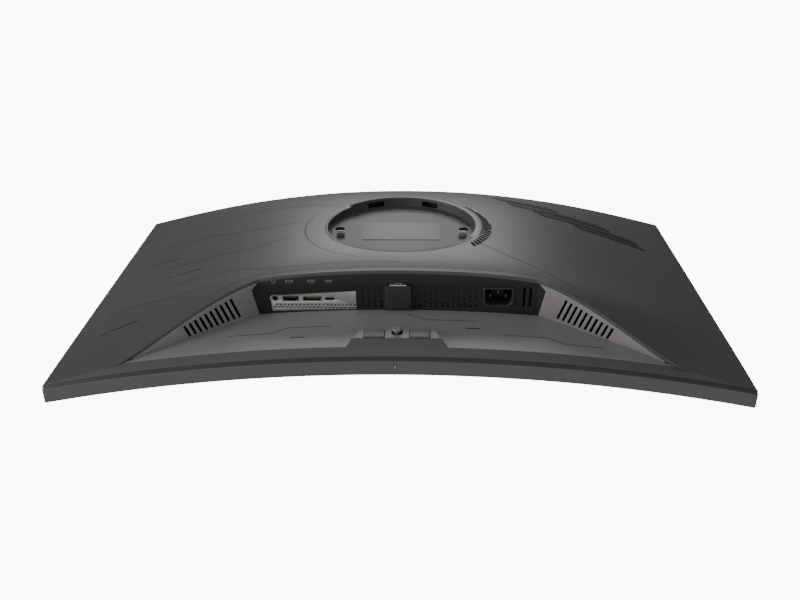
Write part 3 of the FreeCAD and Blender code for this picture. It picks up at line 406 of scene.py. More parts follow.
def join(name, obs, nodes=(), body="housing"):
    # several meshes become one object
    verts, faces, idx, mats = [], [], [], []
    for o in obs:
        base = len(verts)
        verts += [tuple(v.co) for v in o.data.vertices]
        faces += [tuple(base + i for i in p.vertices) for p in o.data.polygons]
        for m in o.data.materials:
            if m not in mats:
                mats.append(m)
        idx += [mats.index(o.data.materials[p.material_index]) for p in o.data.polygons]
    me = bpy.data.meshes.new(name)
    me.from_pydata(verts, [], faces)
    for m in mats:
        me.materials.append(m)
    for p, k in zip(me.polygons, idx):
        p.material_index = k
    for o in obs:
        bpy.data.objects.remove(o)
    finish_mesh(me, 35.0)
    ob = bpy.data.objects.new(name, me)
    bpy.context.scene.collection.objects.link(ob)
    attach(ob, body)
    if nodes:
        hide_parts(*nodes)
    return ob


def turned(name, prof, centre, mat, body="housing", nodes=(), n=64, axis="Y", sharp=35.0):
    # prof: (radius, along) pairs
    v = []
    for i in range(n):
        a = 2 * math.pi * i / n
        for r, h in prof:
            if axis == "Y":
                v.append((centre[0] + r * math.cos(a), h, centre[1] + r * math.sin(a)))
            else:
                v.append((centre[0] + r * math.cos(a), centre[1] + r * math.sin(a), h))
    f = grid_faces(n, len(prof), True)
    if axis == "Z":
        f = [t[::-1] for t in f]
    f = [t[::-1] for t in f]
    return mesh(name, v, f, mat, body, nodes, sharp)


# -------------------------------------------------------- rear cover shell
def outline_points():
    pts = [(306, HH), (306, -179.9), (WT, WL), (BH, BL), (-BH, BL), (-WT, WL), (-306, -179.9), (-306, HH)]
    ring = rounded(pts, [3.0, 1.0, 5.0, 4.0, 4.0, 5.0, 1.0, 3.0], 8)
    kind = []
    return np.array(ring)


RING = outline_points()


def edge_hit(angle):
    # where a ray from the recess axis meets the outline, and the outline's outward normal there
    d = np.array([math.cos(angle), math.sin(angle)])
    c = np.array([0.0, MH])
    a = RING - c
    b = np.roll(RING, -1, axis=0) - c
    e = b - a
    den = d[0] * e[:, 1] - d[1] * e[:, 0]
    with np.errstate(divide="ignore", invalid="ignore"):
        t = (a[:, 0] * e[:, 1] - a[:, 1] * e[:, 0]) / den
        s = (a[:, 0] * d[1] - a[:, 1] * d[0]) / den
    ok = (t > 0) & (s >= -1e-9) & (s <= 1 + 1e-9)
    k = int(np.argmax(np.where(ok, t, -1)))
    n = np.array([e[k, 1], -e[k, 0]])
    n /= np.linalg.norm(n)
    if n @ d < 0:
        n = -n
    return c + d * t[k], n


angs = list(np.radians(np.arange(0, 360, 0.25))) + list(np.radians(np.arange(176, 236, 0.25) + 0.125))
for p in RING:
    angs.append(math.atan2(p[1] - MH, p[0]) % (2 * math.pi))
angs = sorted(angs)
keep = [angs[0]]
for a in angs[1:]:
    if a - keep[-1] > 2e-4:
        keep.append(a)
angs = np.array(keep)
hits = [edge_hit(a) for a in angs]
EP = np.array([h[0] for h in hits])
EN = np.array([h[1] for h in hits])
# even out the normals across the rounded corners
for _ in range(2):
    EN = EN + 0.5 * (np.roll(EN, 1, axis=0) + np.roll(EN, -1, axis=0))
    EN /= np.linalg.norm(EN, axis=1)[:, None]
N = len(angs)
cosA, sinA = np.cos(angs), np.sin(angs)
phi = np.degrees(np.arctan2(sinA, -cosA))          # 0 at -X, 90 at the top


def band(v, a, b, w):
    return np.clip((v - a) / w + 0.5, 0, 1) * np.clip((b - v) / w + 0.5, 0, 1)




def slits(r):
    # nine slots, each turned 30 degrees from the radius
    q = np.zeros(N)
    for i in range(9):
        mid = -36.5 + 3.5 * i - math.degrees(0.577 * (r - 89.4) / 89.4)
        q = np.maximum(q, band(phi, mid - 0.95, mid + 0.95, 0.25))
    return q


R0 = RR + RW + 0.15


def collar_out(deg):
    # outer radius of the collar: its outer edge is a circle set off towards -X
    c, q = np.cos(np.radians(deg)), np.sin(np.radians(deg))
    return np.clip(2.6 * c + np.sqrt(81.9 ** 2 - (2.6 * q) ** 2), 80.1, 84.5)


def collar_rise(deg):
    return np.clip(0.9 + 6.7 * np.cos(np.radians(deg - 72.0)), 0.0, 2.4)


r_edge = collar_out(phi)
swell = np.clip((70.0 - phi) / 66.0, 0, 1) ** 0.8 * (phi > -6.6)
thin = band(phi, 40, 138, 10)


def cove(delta):
    # depth of the cut outside the collar, delta beyond the collar's edge
    wide = 1.2 + 7.2 * swell
    t = (delta - 0.35) / wide
    deep = 0.45 * thin + 2.1 * swell ** 0.6
    g = np.where((t >= 0) & (t < 1), deep * np.clip(1.0 - t, 0, 1) ** 0.8, 0.0)
    if 0.9 <= delta <= 9.4:
        g = np.maximum(g, 2.0 * slits(84.3 + delta))
    return g


rows = []
RF = 1.3
inner = np.array([EP[i] - EN[i] * RF for i in range(N)])
for r in (R0, R0 + 0.12, R0 + 0.5):
    x, z = r * cosA, MH + r * sinA
    y = rear(x, z)
    if r == R0:
        y = y - 0.35
    if r == R0 + 0.12:
        y = y - 0.12
    rows.append(np.stack([x, y, z], 1))
DELTA = [0.05, 0.3, 0.36, 0.6, 0.85, 0.95, 1.25, 1.6, 2.2, 3.0, 4.0, 5.0, 6.0, 7.0, 8.0, 9.0, 9.3, 9.5, 11.0]
for dl in DELTA:
    r = np.where(np.abs(phi + 22) < 24, 84.3, r_edge) + dl if dl > 0.9 else r_edge + dl
    x, z = r * cosA, MH + r * sinA
    rows.append(np.stack([x, rear(x, z) - cove(dl), z], 1))
base = np.stack([102.0 * cosA, MH + 102.0 * sinA], 1)
rb = np.linalg.norm(inner - np.array([0, MH]), axis=1)
for t in list(np.linspace(0, 1, 44)[1:]):
    q = base + (inner - base) * t
    rows.append(np.stack([q[:, 0], rear(q[:, 0], q[:, 1]), q[:, 1]], 1))
for k in range(1, 7):
    a = math.radians(15 * k)
    q = inner + EN * RF * math.sin(a)
    y = rear(q[:, 0], q[:, 1]) - RF * (1 - math.cos(a))
    rows.append(np.stack([q[:, 0], y, q[:, 1]], 1))
top_side = (EP[:, 1] > -178.5) & ((np.abs(EP[:, 0]) > 302.0) | (EP[:, 1] > 179.0))
last = rows[-1]
wall_y = np.where(top_side, np.minimum(cyl(EP[:, 0], 13.75), last[:, 1] - 0.05), last[:, 1] - 2.0)
rows.append(np.stack([EP[:, 0], wall_y, EP[:, 1]], 1))
back_in = EP - EN * 2.4
rows.append(np.stack([back_in[:, 0], wall_y, back_in[:, 1]], 1))
V = np.stack(rows, 1).reshape(-1, 3)
F = grid_faces(N, len(rows), True)
shell = mesh("rear_skin", V, [f[::-1] for f in F], MAT["shell_grey"], sharp=38.0)
shell.data.materials.append(BLACK_AND_SHADE)
shell.data.materials.append(ETCH_AND_SHADE)
pc = np.empty(len(shell.data.polygons) * 3)
shell.data.polygons.foreach_get("center", pc)
pc = pc.reshape(-1, 3) * 1000 + np.array([OX, OY, OZ])
pr = np.hypot(pc[:, 0], pc[:, 2] - MH)
pp = np.degrees(np.arctan2(pc[:, 2] - MH, -pc[:, 0]))
fall = rear(pc[:, 0], pc[:, 2]) - pc[:, 1]
# faces sunk into the comb slits get the near-black, and faces sunk into the groove outside the collar get the dark etch
# colour: both are painted shade
groove_shade = np.zeros(len(pc), int)
groove_shade[(pr < 95) & (pp > -45) & (pp < -6.6) & (fall > 0.45)] = 1
groove_shade[(pr < collar_out(pp) + 9.0) & (pp > -6.6) & (pp < 74) & (fall > 0.12) & (pr > 80.2)] = 2
for p, k in zip(shell.data.polygons, groove_shade):
    p.material_index = int(k)


def etched(pts, width=0.9, mat=None, lift=0.05, depth_at=None):
    # thin line that follows the surface, given as (x, z) corners
    pts = [np.array(p, float) for p in pts]
    path = []
    for a, b in zip(pts[:-1], pts[1:]):
        k = max(1, int(np.linalg.norm(b - a) / 4.0))
        path += [a + (b - a) * t / k for t in range(k)]
    path.append(pts[-1])
    path = np.array(path)
    d = np.gradient(path, axis=0)
    d /= np.linalg.norm(d, axis=1)[:, None]
    n = np.stack([-d[:, 1], d[:, 0]], 1)
    V = []
    for side in (-0.5, 0.5):
        q = path + n * width * side
        V.append(np.stack([q[:, 0], (depth_at or rear)(q[:, 0], q[:, 1]) + lift, q[:, 1]], 1))
    m = len(path)
    F = [(i, i + 1, m + i + 1, m + i) for i in range(m - 1)]
    o = mesh("etched", np.concatenate(V), F, mat or ETCH_AND_SHADE)
    bm = bmesh.new()
    bm.from_mesh(o.data)
    for f in bm.faces:
        if f.normal.y < 0:
            f.normal_flip()
    bm.to_mesh(o.data)
    bm.free()
    return o


# plain accent lines: one along the ridge, one arc beside the recess, straight runs towards the sides
ridge = [(-BH - 2.0, BL + 13.5), (BH + 2.0, BL + 13.5), (BH + 34.0, BL - 4.0)]
arc_line = [(100.0 * math.cos(math.radians(a)), MH + 100.0 * math.sin(math.radians(a))) for a in range(-72, 22, 3)]
lines = [
    etched(ridge, 0.8),
    etched(arc_line, 0.7),
    etched([(-72.0, -8.0), (-132.0, -66.0), (-157.0, -110.0)], 0.9),
    etched([(64.0, 90.0), (104.0, 110.0), (190.0, 118.0)], 0.8),
    etched([(104.0, 52.0), (180.0, 52.0), (206.0, 66.0), (262.0, 66.0)], 0.7),
    etched([(112.0, 12.0), (150.0, -4.0), (236.0, -4.0)], 0.7),
    etched([(0.0, -74.0), (118.0, -74.0), (150.0, -58.0), (214.0, -58.0)], 0.7),
    etched([(170.0, -96.0), (214.0, -96.0), (240.0, -84.0), (276.0, -84.0)], 0.7),
    etched([(232.0, 22.0), (252.0, 22.0)], 1.6), etched([(256.0, 22.0), (262.0, 22.0)], 1.6),
    etched([(196.0, -30.0), (222.0, -30.0)], 1.6), etched([(226.0, -30.0), (232.0, -30.0)], 1.6),
    etched([(236.0, -118.0), (262.0, -118.0)], 1.6), etched([(266.0, -118.0), (274.0, -118.0)], 1.6),
]
join("rear_shell", [shell] + lines, nodes=("rear_cover",))

# ------------------------------------------------------------- recess cup
NA = 720
th = np.linspace(0, 2 * math.pi, NA, endpoint=False)
ct, stt = np.cos(th), np.sin(th)


def ring_row(r, y):
    x, z = r * ct, MH + r * stt
    yy = y(x, z) if callable(y) else np.full(NA, float(y))
    return np.stack([x, yy, z], 1)


rows = [ring_row(RR - 1.2, FLOOR), ring_row(RR - 0.7, FLOOR + 0.03), ring_row(RR - 0.2, FLOOR + 0.12), ring_row(RR - 0.02, FLOOR + 0.35),
        ring_row(RR, 35.5), ring_row(RR, 41.4)]
lowest = rear(RR * ct, MH + RR * stt)
for f in (0.25, 0.5, 0.75):
    rows.append(np.stack([RR * ct, 41.4 + (lowest - 0.6 - 41.4) * f, MH + RR * stt], 1))
rows.append(ring_row(RR, lambda x, z: rear(x, z) - 0.6))
rows.append(ring_row(RR + 0.18, lambda x, z: rear(x, z) - 0.18))
rows.append(ring_row(RR + 0.6, lambda x, z: rear(x, z) + 0.0))
rows.append(ring_row(RR + 2.5, lambda x, z: rear(x, z) + 0.0))
rows.append(ring_row(RR + 2.75, lambda x, z: rear(x, z) - 0.2))
rows.append(ring_row(RR + 2.8, lambda x, z: rear(x, z) - 2.0))
V = np.stack(rows, 1).reshape(-1, 3)
F = []
nv = len(rows)
for i in range(NA):
    k = (i + 1) % NA
    xm = RR * (ct[i] + ct[k]) / 2
    for j in range(nv - 1):
        if j == 4 and stt[i] > 0 and 21.1 < abs(xm) < 38.1:
            continue
        F.append((i * nv + j, i * nv + j + 1, k * nv + j + 1, k * nv + j))
wall = mesh("cup_wall", V, [f[::-1] for f in F], MAT["cup_plastic"], sharp=38.0)
holes = [arc2(sx * 50, sz * 50, 2.1, 0, 360, 28)[:-1] for sx in (-1, 1) for sz in (-1, 1)]
keyholes = [arc2(s_ * 65.4, 10.5, 5.2, 0, 360, 40)[:-1] for s_ in (-1, 1)]
floor_o = plate("cup_floor", arc2(0, 0, RR - 1.1, 0, 360, 240)[:-1], holes + keyholes, 2.4, (0, FLOOR - 1.2, MH), (-1, 0, 0), (0, 0, 1),
                MAT["cup_plastic"], bevel=0.25)
# black boxes behind the hook windows and black discs under the keyholes: painted shade of the hollows behind the
# openings
shadow_liners = []
for sx in (-1, 1):
    a, b = sx * 21.1 - 0.2 * sx, sx * 38.1 + 0.2 * sx
    x0, x1 = min(a, b), max(a, b)
    v = []
    for (x, y) in ((x0, 35.2), (x1, 35.2), (x1, 41.5), (x0, 41.5)):
        zz = MH + math.sqrt((RR + 0.05) ** 2 - x * x)
        v.append((x, y, zz - 0.02))
        v.append((x, y, zz + 7.0))
    f = [(0, 1, 3, 2), (2, 3, 5, 4), (4, 5, 7, 6), (6, 7, 1, 0), (1, 7, 5, 3)]
    shadow_liners.append(mesh("hook_window_shadow", v, f, BLACK_AND_SHADE))
for s_ in (-1, 1):
    shadow_liners.append(plate("keyhole_shadow", arc2(s_ * 65.4, 10.5, 5.6, 0, 360, 24)[:-1], [], 0.3, (0, FLOOR - 2.6, MH), (-1, 0, 0), (0, 0, 1),
                        BLACK_AND_SHADE, bevel=0.05))
cup = join("recess_bowl", [wall, floor_o] + shadow_liners, nodes=("recess_cup",))

# --------------------------------------------------------------- C collar
pd = np.linspace(-25.0, 136.0, 323)
prof = [(0.40, 0.0), (0.05, 0.0), (0.0, 0.08), (0.0, 0.70), (0.02, 0.88), (0.09, 0.985), (0.45, 1.0), (0.82, 1.0), (0.93, 0.93),
        (0.985, 0.70), (1.0, 0.04), (0.70, 0.04)]
V = []
for a in pd:
    top, edge = max(0.03, float(collar_rise(a))), float(collar_out(a))
    for w, h in prof:
        r = RR + w * (edge - RR)
        V.append((-r * math.cos(math.radians(a)), h * top, MH + r * math.sin(math.radians(a))))
V = np.array(V)
V[:, 1] += rear(V[:, 0], V[:, 2])
nv = len(prof)
F = grid_faces(len(pd), nv)
F.append(tuple(range(nv)))
F.append(tuple(range((len(pd) - 1) * nv, len(pd) * nv))[::-1])
mesh("collar_ring", V, F, MAT["collar_plastic"], nodes=("recess_collar",), sharp=38.0)

# latch lugs: a rounded nose over a mouth whose black fill is painted shade
for tag, sx in (("left", -1), ("right", 1)):
    hood = plate("lug_hood", rounded([(-4, -9.5), (4, -9.5), (4, -3.8), (2.6, -2.4), (-2.6, -2.4), (-4, -3.8)], [0.6, 0.6, 1.0, 1.0, 1.0, 1.0], 4), [
        box2(-2.6, -8.6, 2.6, -6.0, 0.5)], 4.4, (sx * 63.2, FLOOR + 2.3, MH), (-1, 0, 0), (0, 0, 1), MAT["lug_plastic"],
        bevel=0.9, seg=3)
    dark = plate("lug_mouth_shadow", box2(-2.6, -8.6, 2.6, -6.0, 0.5), [], 0.3, (sx * 63.2, FLOOR + 1.6, MH), (-1, 0, 0), (0, 0, 1), BLACK_AND_SHADE,
                 bevel=0.05)
    join("latch_" + tag, [hood, dark], nodes=("latch_lug_" + tag,))
plate("blank_label", box2(-40.6, 18 - MH, 40.6, 64 - MH, 2.5), [], 0.42, (0, FLOOR + 0.26, MH), (-1, 0, 0), (0, 0, 1),
      MAT["blank_plate"], nodes=("floor_plate",), bevel=0.12)

# ------------------------------------------------------------- lower cover
LZ = [-180.0, -169.0, -108.8]
LT = [17.0, 20.0, 23.0]


def half_at(z):
    z = np.asarray(z, float)
    return np.where(z > WL - 0.3, BH + (BL - 0.3 - z) / (BL - WL) * (WT - BH),
                    WT + (WL - 0.3 - z) / 9.9 * (HW - WT))


def plat_half(z):
    return np.interp(z, [-169.4, -147.8, -145.0], [44.0, 34.0, 31.0])


def low_rows():
    z = [-180.0, -179.9, -179.6, -178.8]
    z += list(np.linspace(-177.5, -170.6, 6)) + [-170.0, -169.6, -169.4, -169.2, -168.8, -168.2, -167.2]
    z += list(np.linspace(-166.0, -162.0, 4)) + [-161.3, -160.9, -160.7, -160.4, -160.1, -159.9, -159.7, -158.7]
    z += list(np.linspace(-157.6, -151.0, 8)) + [-149.9, -148.7, -148.4, -148.1, -147.9, -147.7, -147.1, -146.2, -145.4, -145.0, -144.6, -143.8]
    z += list(np.linspace(-140, -112, 20)) + [-110.5, -109.6, -109.1, -108.8]
    return np.array(sorted(z))


def low_depth(x, z):
    base = np.interp(z, LZ, LT)
    # round the crease between panel and chin
    d = np.abs(z + 169.0)
    base = base - 0.10 * np.clip(1 - d / 1.2, 0, 1) ** 2
    # raised platform: section along Z, ramp at the slanted sides
    top = np.interp(z, [-169.4, -160.7, -148.0, -144.8], [19.95, 23.6, 24.6, 21.4])
    top = np.where((z < -169.4) | (z > -144.8), base, top)
    e = plat_half(z) - np.abs(x)
    w = np.clip(e / 1.6, 0, 1)
    w = w * w * (3 - 2 * w)
    return base + np.maximum(top - base, 0) * w


zr = low_rows()
u = np.concatenate([np.linspace(0, 9.4, 7), [9.9, 10.2, 10.4], np.linspace(11.5, 27.5, 12), [28.6, 28.8, 29.3, 30.0],
                    [35, 40, 42.4, 42.8, 43.2, 43.6, 44.0, 44.5, 46, 50, 55, 62, 70], np.linspace(76, 300, 76), [303, 304.6, 305.4, 305.8, 306]])
u = np.concatenate([-u[::-1], u[1:]])
XX = np.zeros((len(u), len(zr)))
for j, z in enumerate(zr):
    hp = float(plat_half(z))
    hx = float(half_at(z))
    a = np.abs(u)
    x = np.where(a <= 30, a, np.where(a <= 44, 30 + (a - 30) * (hp - 30) / 14,
        np.where(a <= 70, hp + (a - 44) * (70 - hp) / 26, 70 + (a - 70) * (hx - 70) / (306 - 70))))
    XX[:, j] = np.sign(u) * x
ZZ = np.tile(zr, (len(u), 1))
TT = low_depth(XX, ZZ)
YY = cyl(XX, TT)
nv = len(zr)
# roll the bay edge and the seam edge inwards
for j in range(nv):
    if zr[j] > -109.7:
        YY[:, j] -= 0.9 * ((zr[j] + 109.7) / 0.9) ** 2
    if zr[j] < -179.5:
        YY[:, j] -= 0.5 * ((-179.5 - zr[j]) / 0.5) ** 2
V = np.stack([XX, YY, ZZ], 2).reshape(-1, 3)
F = []
for i in range(len(u) - 1):
    um = (u[i] + u[i + 1]) / 2
    for j in range(nv - 1):
        zm = (zr[j] + zr[j + 1]) / 2
        if 10.4 < abs(um) < 28.6 and -161.3 < zm < KZ + 5.6:
            continue
        if um ** 2 + (zm - SZ) ** 2 < 4.6 ** 2:
            continue
        F.append((i * nv + j, (i + 1) * nv + j, (i + 1) * nv + j + 1, i * nv + j + 1))
me = bpy.data.meshes.new("lower_shell")
me.from_pydata([tuple(v) for v in to_frame(V)], [], [f[::-1] for f in F])
# pull the joystick opening's rim into a circle
rim = set()
bm = bmesh.new()
bm.from_mesh(me)
bm.verts.ensure_lookup_table()
bmesh.ops.delete(bm, geom=[v for v in bm.verts if not v.link_faces], context="VERTS")
for e in bm.edges:
    if len(e.link_faces) == 1:
        for v in e.verts:
            x, z = v.co.x * 1000, v.co.z * 1000 + OZ
            if math.hypot(x, z - SZ) < 7.5:
                rim.add(v)
for v in rim:
    x, z = v.co.x * 1000, v.co.z * 1000 + OZ
    d = math.hypot(x, z - SZ)
    v.co.x = x / d * 5.0 / 1000
    v.co.z = ((z - SZ) / d * 5.0 + SZ - OZ) / 1000
# skirt: give every free edge a wall that goes inwards
free = [e for e in bm.edges if len(e.link_faces) == 1]
ext = bmesh.ops.extrude_edge_only(bm, edges=free)
for v in [g for g in ext["geom"] if isinstance(g, bmesh.types.BMVert)]:
    v.co.y -= 0.0024
bmesh.ops.recalc_face_normals(bm, faces=bm.faces)
bm.to_mesh(me)
bm.free()
lower = place("lower_skin", me, MAT["lower_plastic"], sharp=24.0)
# the chin material is painted shade on the lower cover's downward-facing faces
lower.data.materials.append(CHIN_SHADE)
lower.data.materials.append(BLACK_AND_SHADE)
lower.data.materials.append(ETCH_AND_SHADE)
# walls inside the key windows and the joystick hole get the near-black: painted shade
for p in lower.data.polygons:
    x, y, z = p.center.x * 1000, p.center.y * 1000 + OY, p.center.z * 1000 + OZ
    gap_shade = abs(p.normal.y) < 0.2 and (math.hypot(x, z - SZ) < 5.3 or (10 < abs(x) < 29 and -161.6 < z < KZ + 5.9))
    if gap_shade:
        p.material_index = 2
    elif z < -169.0 or (z < -160.7 and abs(x) < plat_half(z) - 0.6):
        p.material_index = 1



def low_at(x, z):
    return cyl(x, low_depth(x, z))


low_lines = [
    etched([(-8.0, -117.0), (-26.0, -126.0), (-70.0, -126.0)], 0.6, depth_at=low_at),
    etched([(58.0, -136.0), (96.0, -136.0), (112.0, -144.0), (150.0, -144.0)], 0.6, depth_at=low_at),
    etched([(-92.0, -146.0), (-130.0, -146.0), (-146.0, -154.0), (-178.0, -154.0)], 0.6, depth_at=low_at),
    etched([(80.0, -152.0), (92.0, -152.0)], 1.2, depth_at=low_at), etched([(-60.0, -138.0), (-72.0, -138.0)], 1.2, depth_at=low_at),
]
join("lower_shell", [lower] + low_lines, nodes=("lower_cover",))

# ----------------------------------------------------------------- bay panel
xs = np.linspace(-BH - 0.15, BH + 0.15, 90)
bay_out = [(float(x), float(y)) for x, y in zip(xs, rear(xs, BL) - 2.75)]
bay_out += [(float(x), float(y)) for x, y in zip(xs[::-1], cyl(xs[::-1], 20.6))]
VENT_X = [30.6, 25.3, 20.0, 14.8] + [-14.6 - 5.05 * i for i in range(12)] + [-112.8, -118.4]
io_out = [(38.0, 21.5), (115.4, 19.1), (115.4, 28.8)] + arc2(111.6, PL, 5.0, -38, 98, 14) + [(106.5, 36.6), (38.0, 41.0)]
bay_holes = [io_out, rounded([(IX - 14.3, IY - 6.2), (IX - 10.7, IY - 9.9), (IX + 10.7, IY - 9.9),
             (IX + 14.3, IY - 6.2), (IX + 14.3, IY + 9.9), (IX - 14.3, IY + 9.9)], [1, 1.5, 1.5, 1, 1.5, 1.5], 4)]
for x in VENT_X:
    bay_holes.append(box2(x - 1, 25, x + 1, 45, 0.95, 4))
ceiling = plate("ceiling", bay_out, bay_holes, 2.4, (0, 0, BL + 1.25), (1, 0, 0), (0, 1, 0), MAT["bay_plastic"],
                bevel=0.25)
prints = []


def print_mark(outer, holes=()):
    prints.append(plate("mark", outer, list(holes), 0.05, (0, 0, BL + 0.03), (1, 0, 0), (0, 1, 0), ICON,
                        bevel=0.005, seg=0))


# plain port symbols: a ring, and three outlines of the openings below them
print_mark(arc2(111.6, 50.6, 1.9, 0, 360, 20)[:-1], [arc2(111.6, 50.6, 1.35, 0, 360, 20)[:-1]])
print_mark(rounded([(93.8, 51.8), (94.6, 49.6), (100.2, 49.6), (101.0, 51.8)], 0.3, 2),
           [rounded([(94.8, 51.3), (95.3, 50.1), (99.5, 50.1), (100.0, 51.3)], 0.15, 2)])
print_mark(box2(75.0, 49.8, 80.8, 52.2, 0.3, 2), [box2(75.6, 50.35, 80.2, 51.65, 0.15, 2)])
print_mark(box2(59.0, 50.2, 65.2, 52.2, 0.95, 4), [box2(59.6, 50.75, 64.6, 51.65, 0.4, 4)])
join("bay_ceiling", [ceiling] + prints, nodes=("bay_panel",))
# perforated screen behind the vents
hx, hole_list = [], []
for r, y in enumerate(np.arange(25.2, 45.5, 2.3)):
    for x in np.arange(-72.5 + (1.15 if r % 2 else 0), 34.3, 2.3):
        if abs(x) < 12.2:
            continue
        hole_list.append([(x + 0.72 * math.cos(k * math.pi / 3), y + 0.72 * math.sin(k * math.pi / 3)) for k in range(6)])
plate("vent_mesh", box2(-73.5, 23.6, 35.0, 46.5, 0.5), hole_list, 0.34, (0, 0, BL + 2.9), (1, 0, 0), (0, 1, 0),
      MAT["screen_metal"], nodes=("vent_screen",), bevel=0.03, seg=0)

# lock boss and its slot plate
plate("boss_block", box2(-11.8, 24.4, 11.8, 48, 1.2), [], 3.8, (0, 0, BL - 2.0), (1, 0, 0), (0, 1, 0),
      plastic("boss_plastic", (0.030, 0.0293, 0.029), 0.6, 0.05, 1900, 0.02, 0.3), nodes=("lock_boss",), bevel=0.6, seg=3)
plate("lock_face", box2(-7.5, -1.9, 7.5, 1.9, 0.4), [box2(-3.5, -1.2, 3.5, 1.2, 0.5)], 1.15, (0, 48.7, BL - 2.0), (-1, 0, 0), (0, 0, 1),
      MAT["plated_metal"], nodes=("lock_plate",), bevel=0.15)

# -------------------------------------------------------------- wing grilles
WLEN = math.hypot(WT - BH, WL - BL)
for tag, sx in (("left", -1), ("right", 1)):
    d = np.array([sx * (WT - BH), 0.0, WL - BL]) / WLEN
    up = np.array([-d[2] * sx, 0.0, abs(d[0])])
    us = np.linspace(0.5, 118.0, 60)
    px = sx * BH + d[0] * us
    pz = BL + d[2] * us
    topy = rear(px, pz) - 2.75
    lowy = cyl(px, 16.2)
    good = topy - lowy > 0.7
    us, topy, lowy = us[good], topy[good], lowy[good]
    out = [(float(a), float(b)) for a, b in zip(us, topy)] + [(float(a), float(b)) for a, b in zip(us[::-1], lowy[::-1])]
    out.append((7.2, 43.0))
    slots = []
    for i in range(10):
        f = i / 9.0
        ut, yt = 27.2 + (70.6 - 27.2) * f, 39.2 + (22.9 - 39.2) * f
        ub, yb = 19.9 + (66.1 - 19.9) * f, 18.5 + (11.2 - 18.5) * f
        v = np.array([ut - ub, yt - yb])
        v /= np.linalg.norm(v)
        w = np.array([-v[1], v[0]]) * 1.1
        slots.append(rounded([tuple(np.array([ub, yb]) - w), tuple(np.array([ub, yb]) + w),
                              tuple(np.array([ut, yt]) + w), tuple(np.array([ut, yt]) - w)], 0.5, 3))
    org = np.array([sx * BH, 0, BL]) + up * 1.25
    main = plate("wing_main", out, slots, 2.4, org, d, (0, 1, 0), MAT["wing_plastic"], bevel=0.25)
    y_top, y_low = float(topy[0]), float(lowy[0])
    side = plate("wing_side", [(-0.1, y_low), (6.9, 43.0), (-0.1, y_top)], [], 2.36, org, d, (0, 1, 0), MAT["bay_plastic"],
                 bevel=0.15)
    join("wing_" + tag, [main, side], nodes=("wing_grille_" + tag,))

# -------------------------------------------------------------- front bezel
def bezel_loop():
    # points round the rounded outline, about 6 apart
    pts = rounded([(-HW, -HH), (HW, -HH), (HW, HH), (-HW, HH)], [3.0, 3.0, 3.0, 3.0], 8)
    dense = []
    m = len(pts)
    for i in range(m):
        a, b = np.array(pts[i]), np.array(pts[(i + 1) % m])
        k = max(1, int(np.linalg.norm(b - a) / 6))
        for t in range(k):
            dense.append(a + (b - a) * t / k)
    return np.array(dense)


BLP = bezel_loop()
NB = len(BLP)


def toward(p, d):
    # shrink the rounded outline by d
    x = np.clip(p[:, 0], -HW + 3.0, HW - 3.0)
    z = np.clip(p[:, 1], -HH + 3.0, HH - 3.0)
    n = p - np.stack([x, z], 1)
    ln = np.linalg.norm(n, axis=1)
    flat = ln < 1e-6
    n = np.where(flat[:, None], 0, n / np.maximum(ln, 1e-6)[:, None])
    return p - n * (d[:, None] if hasattr(d, "__len__") else d)


low_side = BLP[:, 1] < -HH + 3.05
mask_low = np.clip((-HH + 3.0 - BLP[:, 1]) / 3.0, 0, 1)          # 1 along the bottom face


def brow(d, off, z_add=0.0):
    q = toward(BLP, d)
    o = off if hasattr(off, "__len__") else np.full(NB, float(off))
    return np.stack([q[:, 0], cyl(q[:, 0], o), q[:, 1] + z_add], 1)


lip = mask_low
in_x = np.clip(BLP[:, 0], -HW + 2.0, HW - 2.0)
in_z = np.clip(BLP[:, 1], -165.3, HH - 2.0)
rows = [
    np.stack([in_x, cyl(in_x, 2.0), in_z], 1),
    np.stack([in_x, cyl(in_x, 0.35), in_z], 1),
    np.stack([np.clip(BLP[:, 0], -HW + 1.7, HW - 1.7), cyl(np.clip(BLP[:, 0], -HW + 1.7, HW - 1.7), 0.05),
              np.clip(BLP[:, 1], -165.8, HH - 1.7)], 1),
    brow(0.9, 0.05), brow(0.35, 0.2), brow(0.08, 0.5), brow(0.0, 1.0), brow(0.0, 6.0),
    brow(0.0, 12.6), brow(0.05, 13.1), brow(0.25, 13.42),
]
# bevel lip along the bottom, a plain return elsewhere
z_lift = 2.7 * lip
rows.append(brow(0.3, 13.5 + 0.25 * lip, 0.12 * lip))
rows.append(brow(0.4 + 0.2 * (1 - lip), 13.5 + 3.0 * lip, 2.35 * lip))
rows.append(brow(0.5 + 0.4 * (1 - lip), 13.5 + 3.25 * lip, 2.6 * lip))
rows.append(brow(0.6 + 1.0 * (1 - lip), 13.5 + 3.1 * lip, 2.75 * lip))
rows.append(brow(0.8 + 1.3 * (1 - lip), 13.5 + 1.4 * lip, 2.85 * lip))
V = np.stack(rows, 1).reshape(-1, 3)
F = grid_faces(NB, len(rows), True)
rim_ob = mesh("bezel_rim", V, F, MAT["bezel_plastic"], nodes=("front_bezel",), sharp=28.0)
rim_ob.data.materials.append(SEAM_SHADE)
# the bevel lip along the bottom gets the dark seam colour: painted shade
for p in rim_ob.data.polygons:
    x, y, z = p.center.x * 1000, p.center.y * 1000 + OY, p.center.z * 1000 + OZ
    if z < -179.5 and y > float(cyl(x, 13.62)):
        p.material_index = 1
drop = [(1.1 + 0.95 * math.sin(math.radians(a)) * (0.35 + 0.65 * (1 - (a / 180.0 - 1) ** 2)), 8.1 + 2.0 * math.cos(math.radians(a)))
        for a in range(0, 360, 15)]
lens = plate("led_lens", drop, [], 3.3, (0, 0, -181.48), (1, 0, 0), (0, 1, 0), MAT["lens"], bevel=0.15)
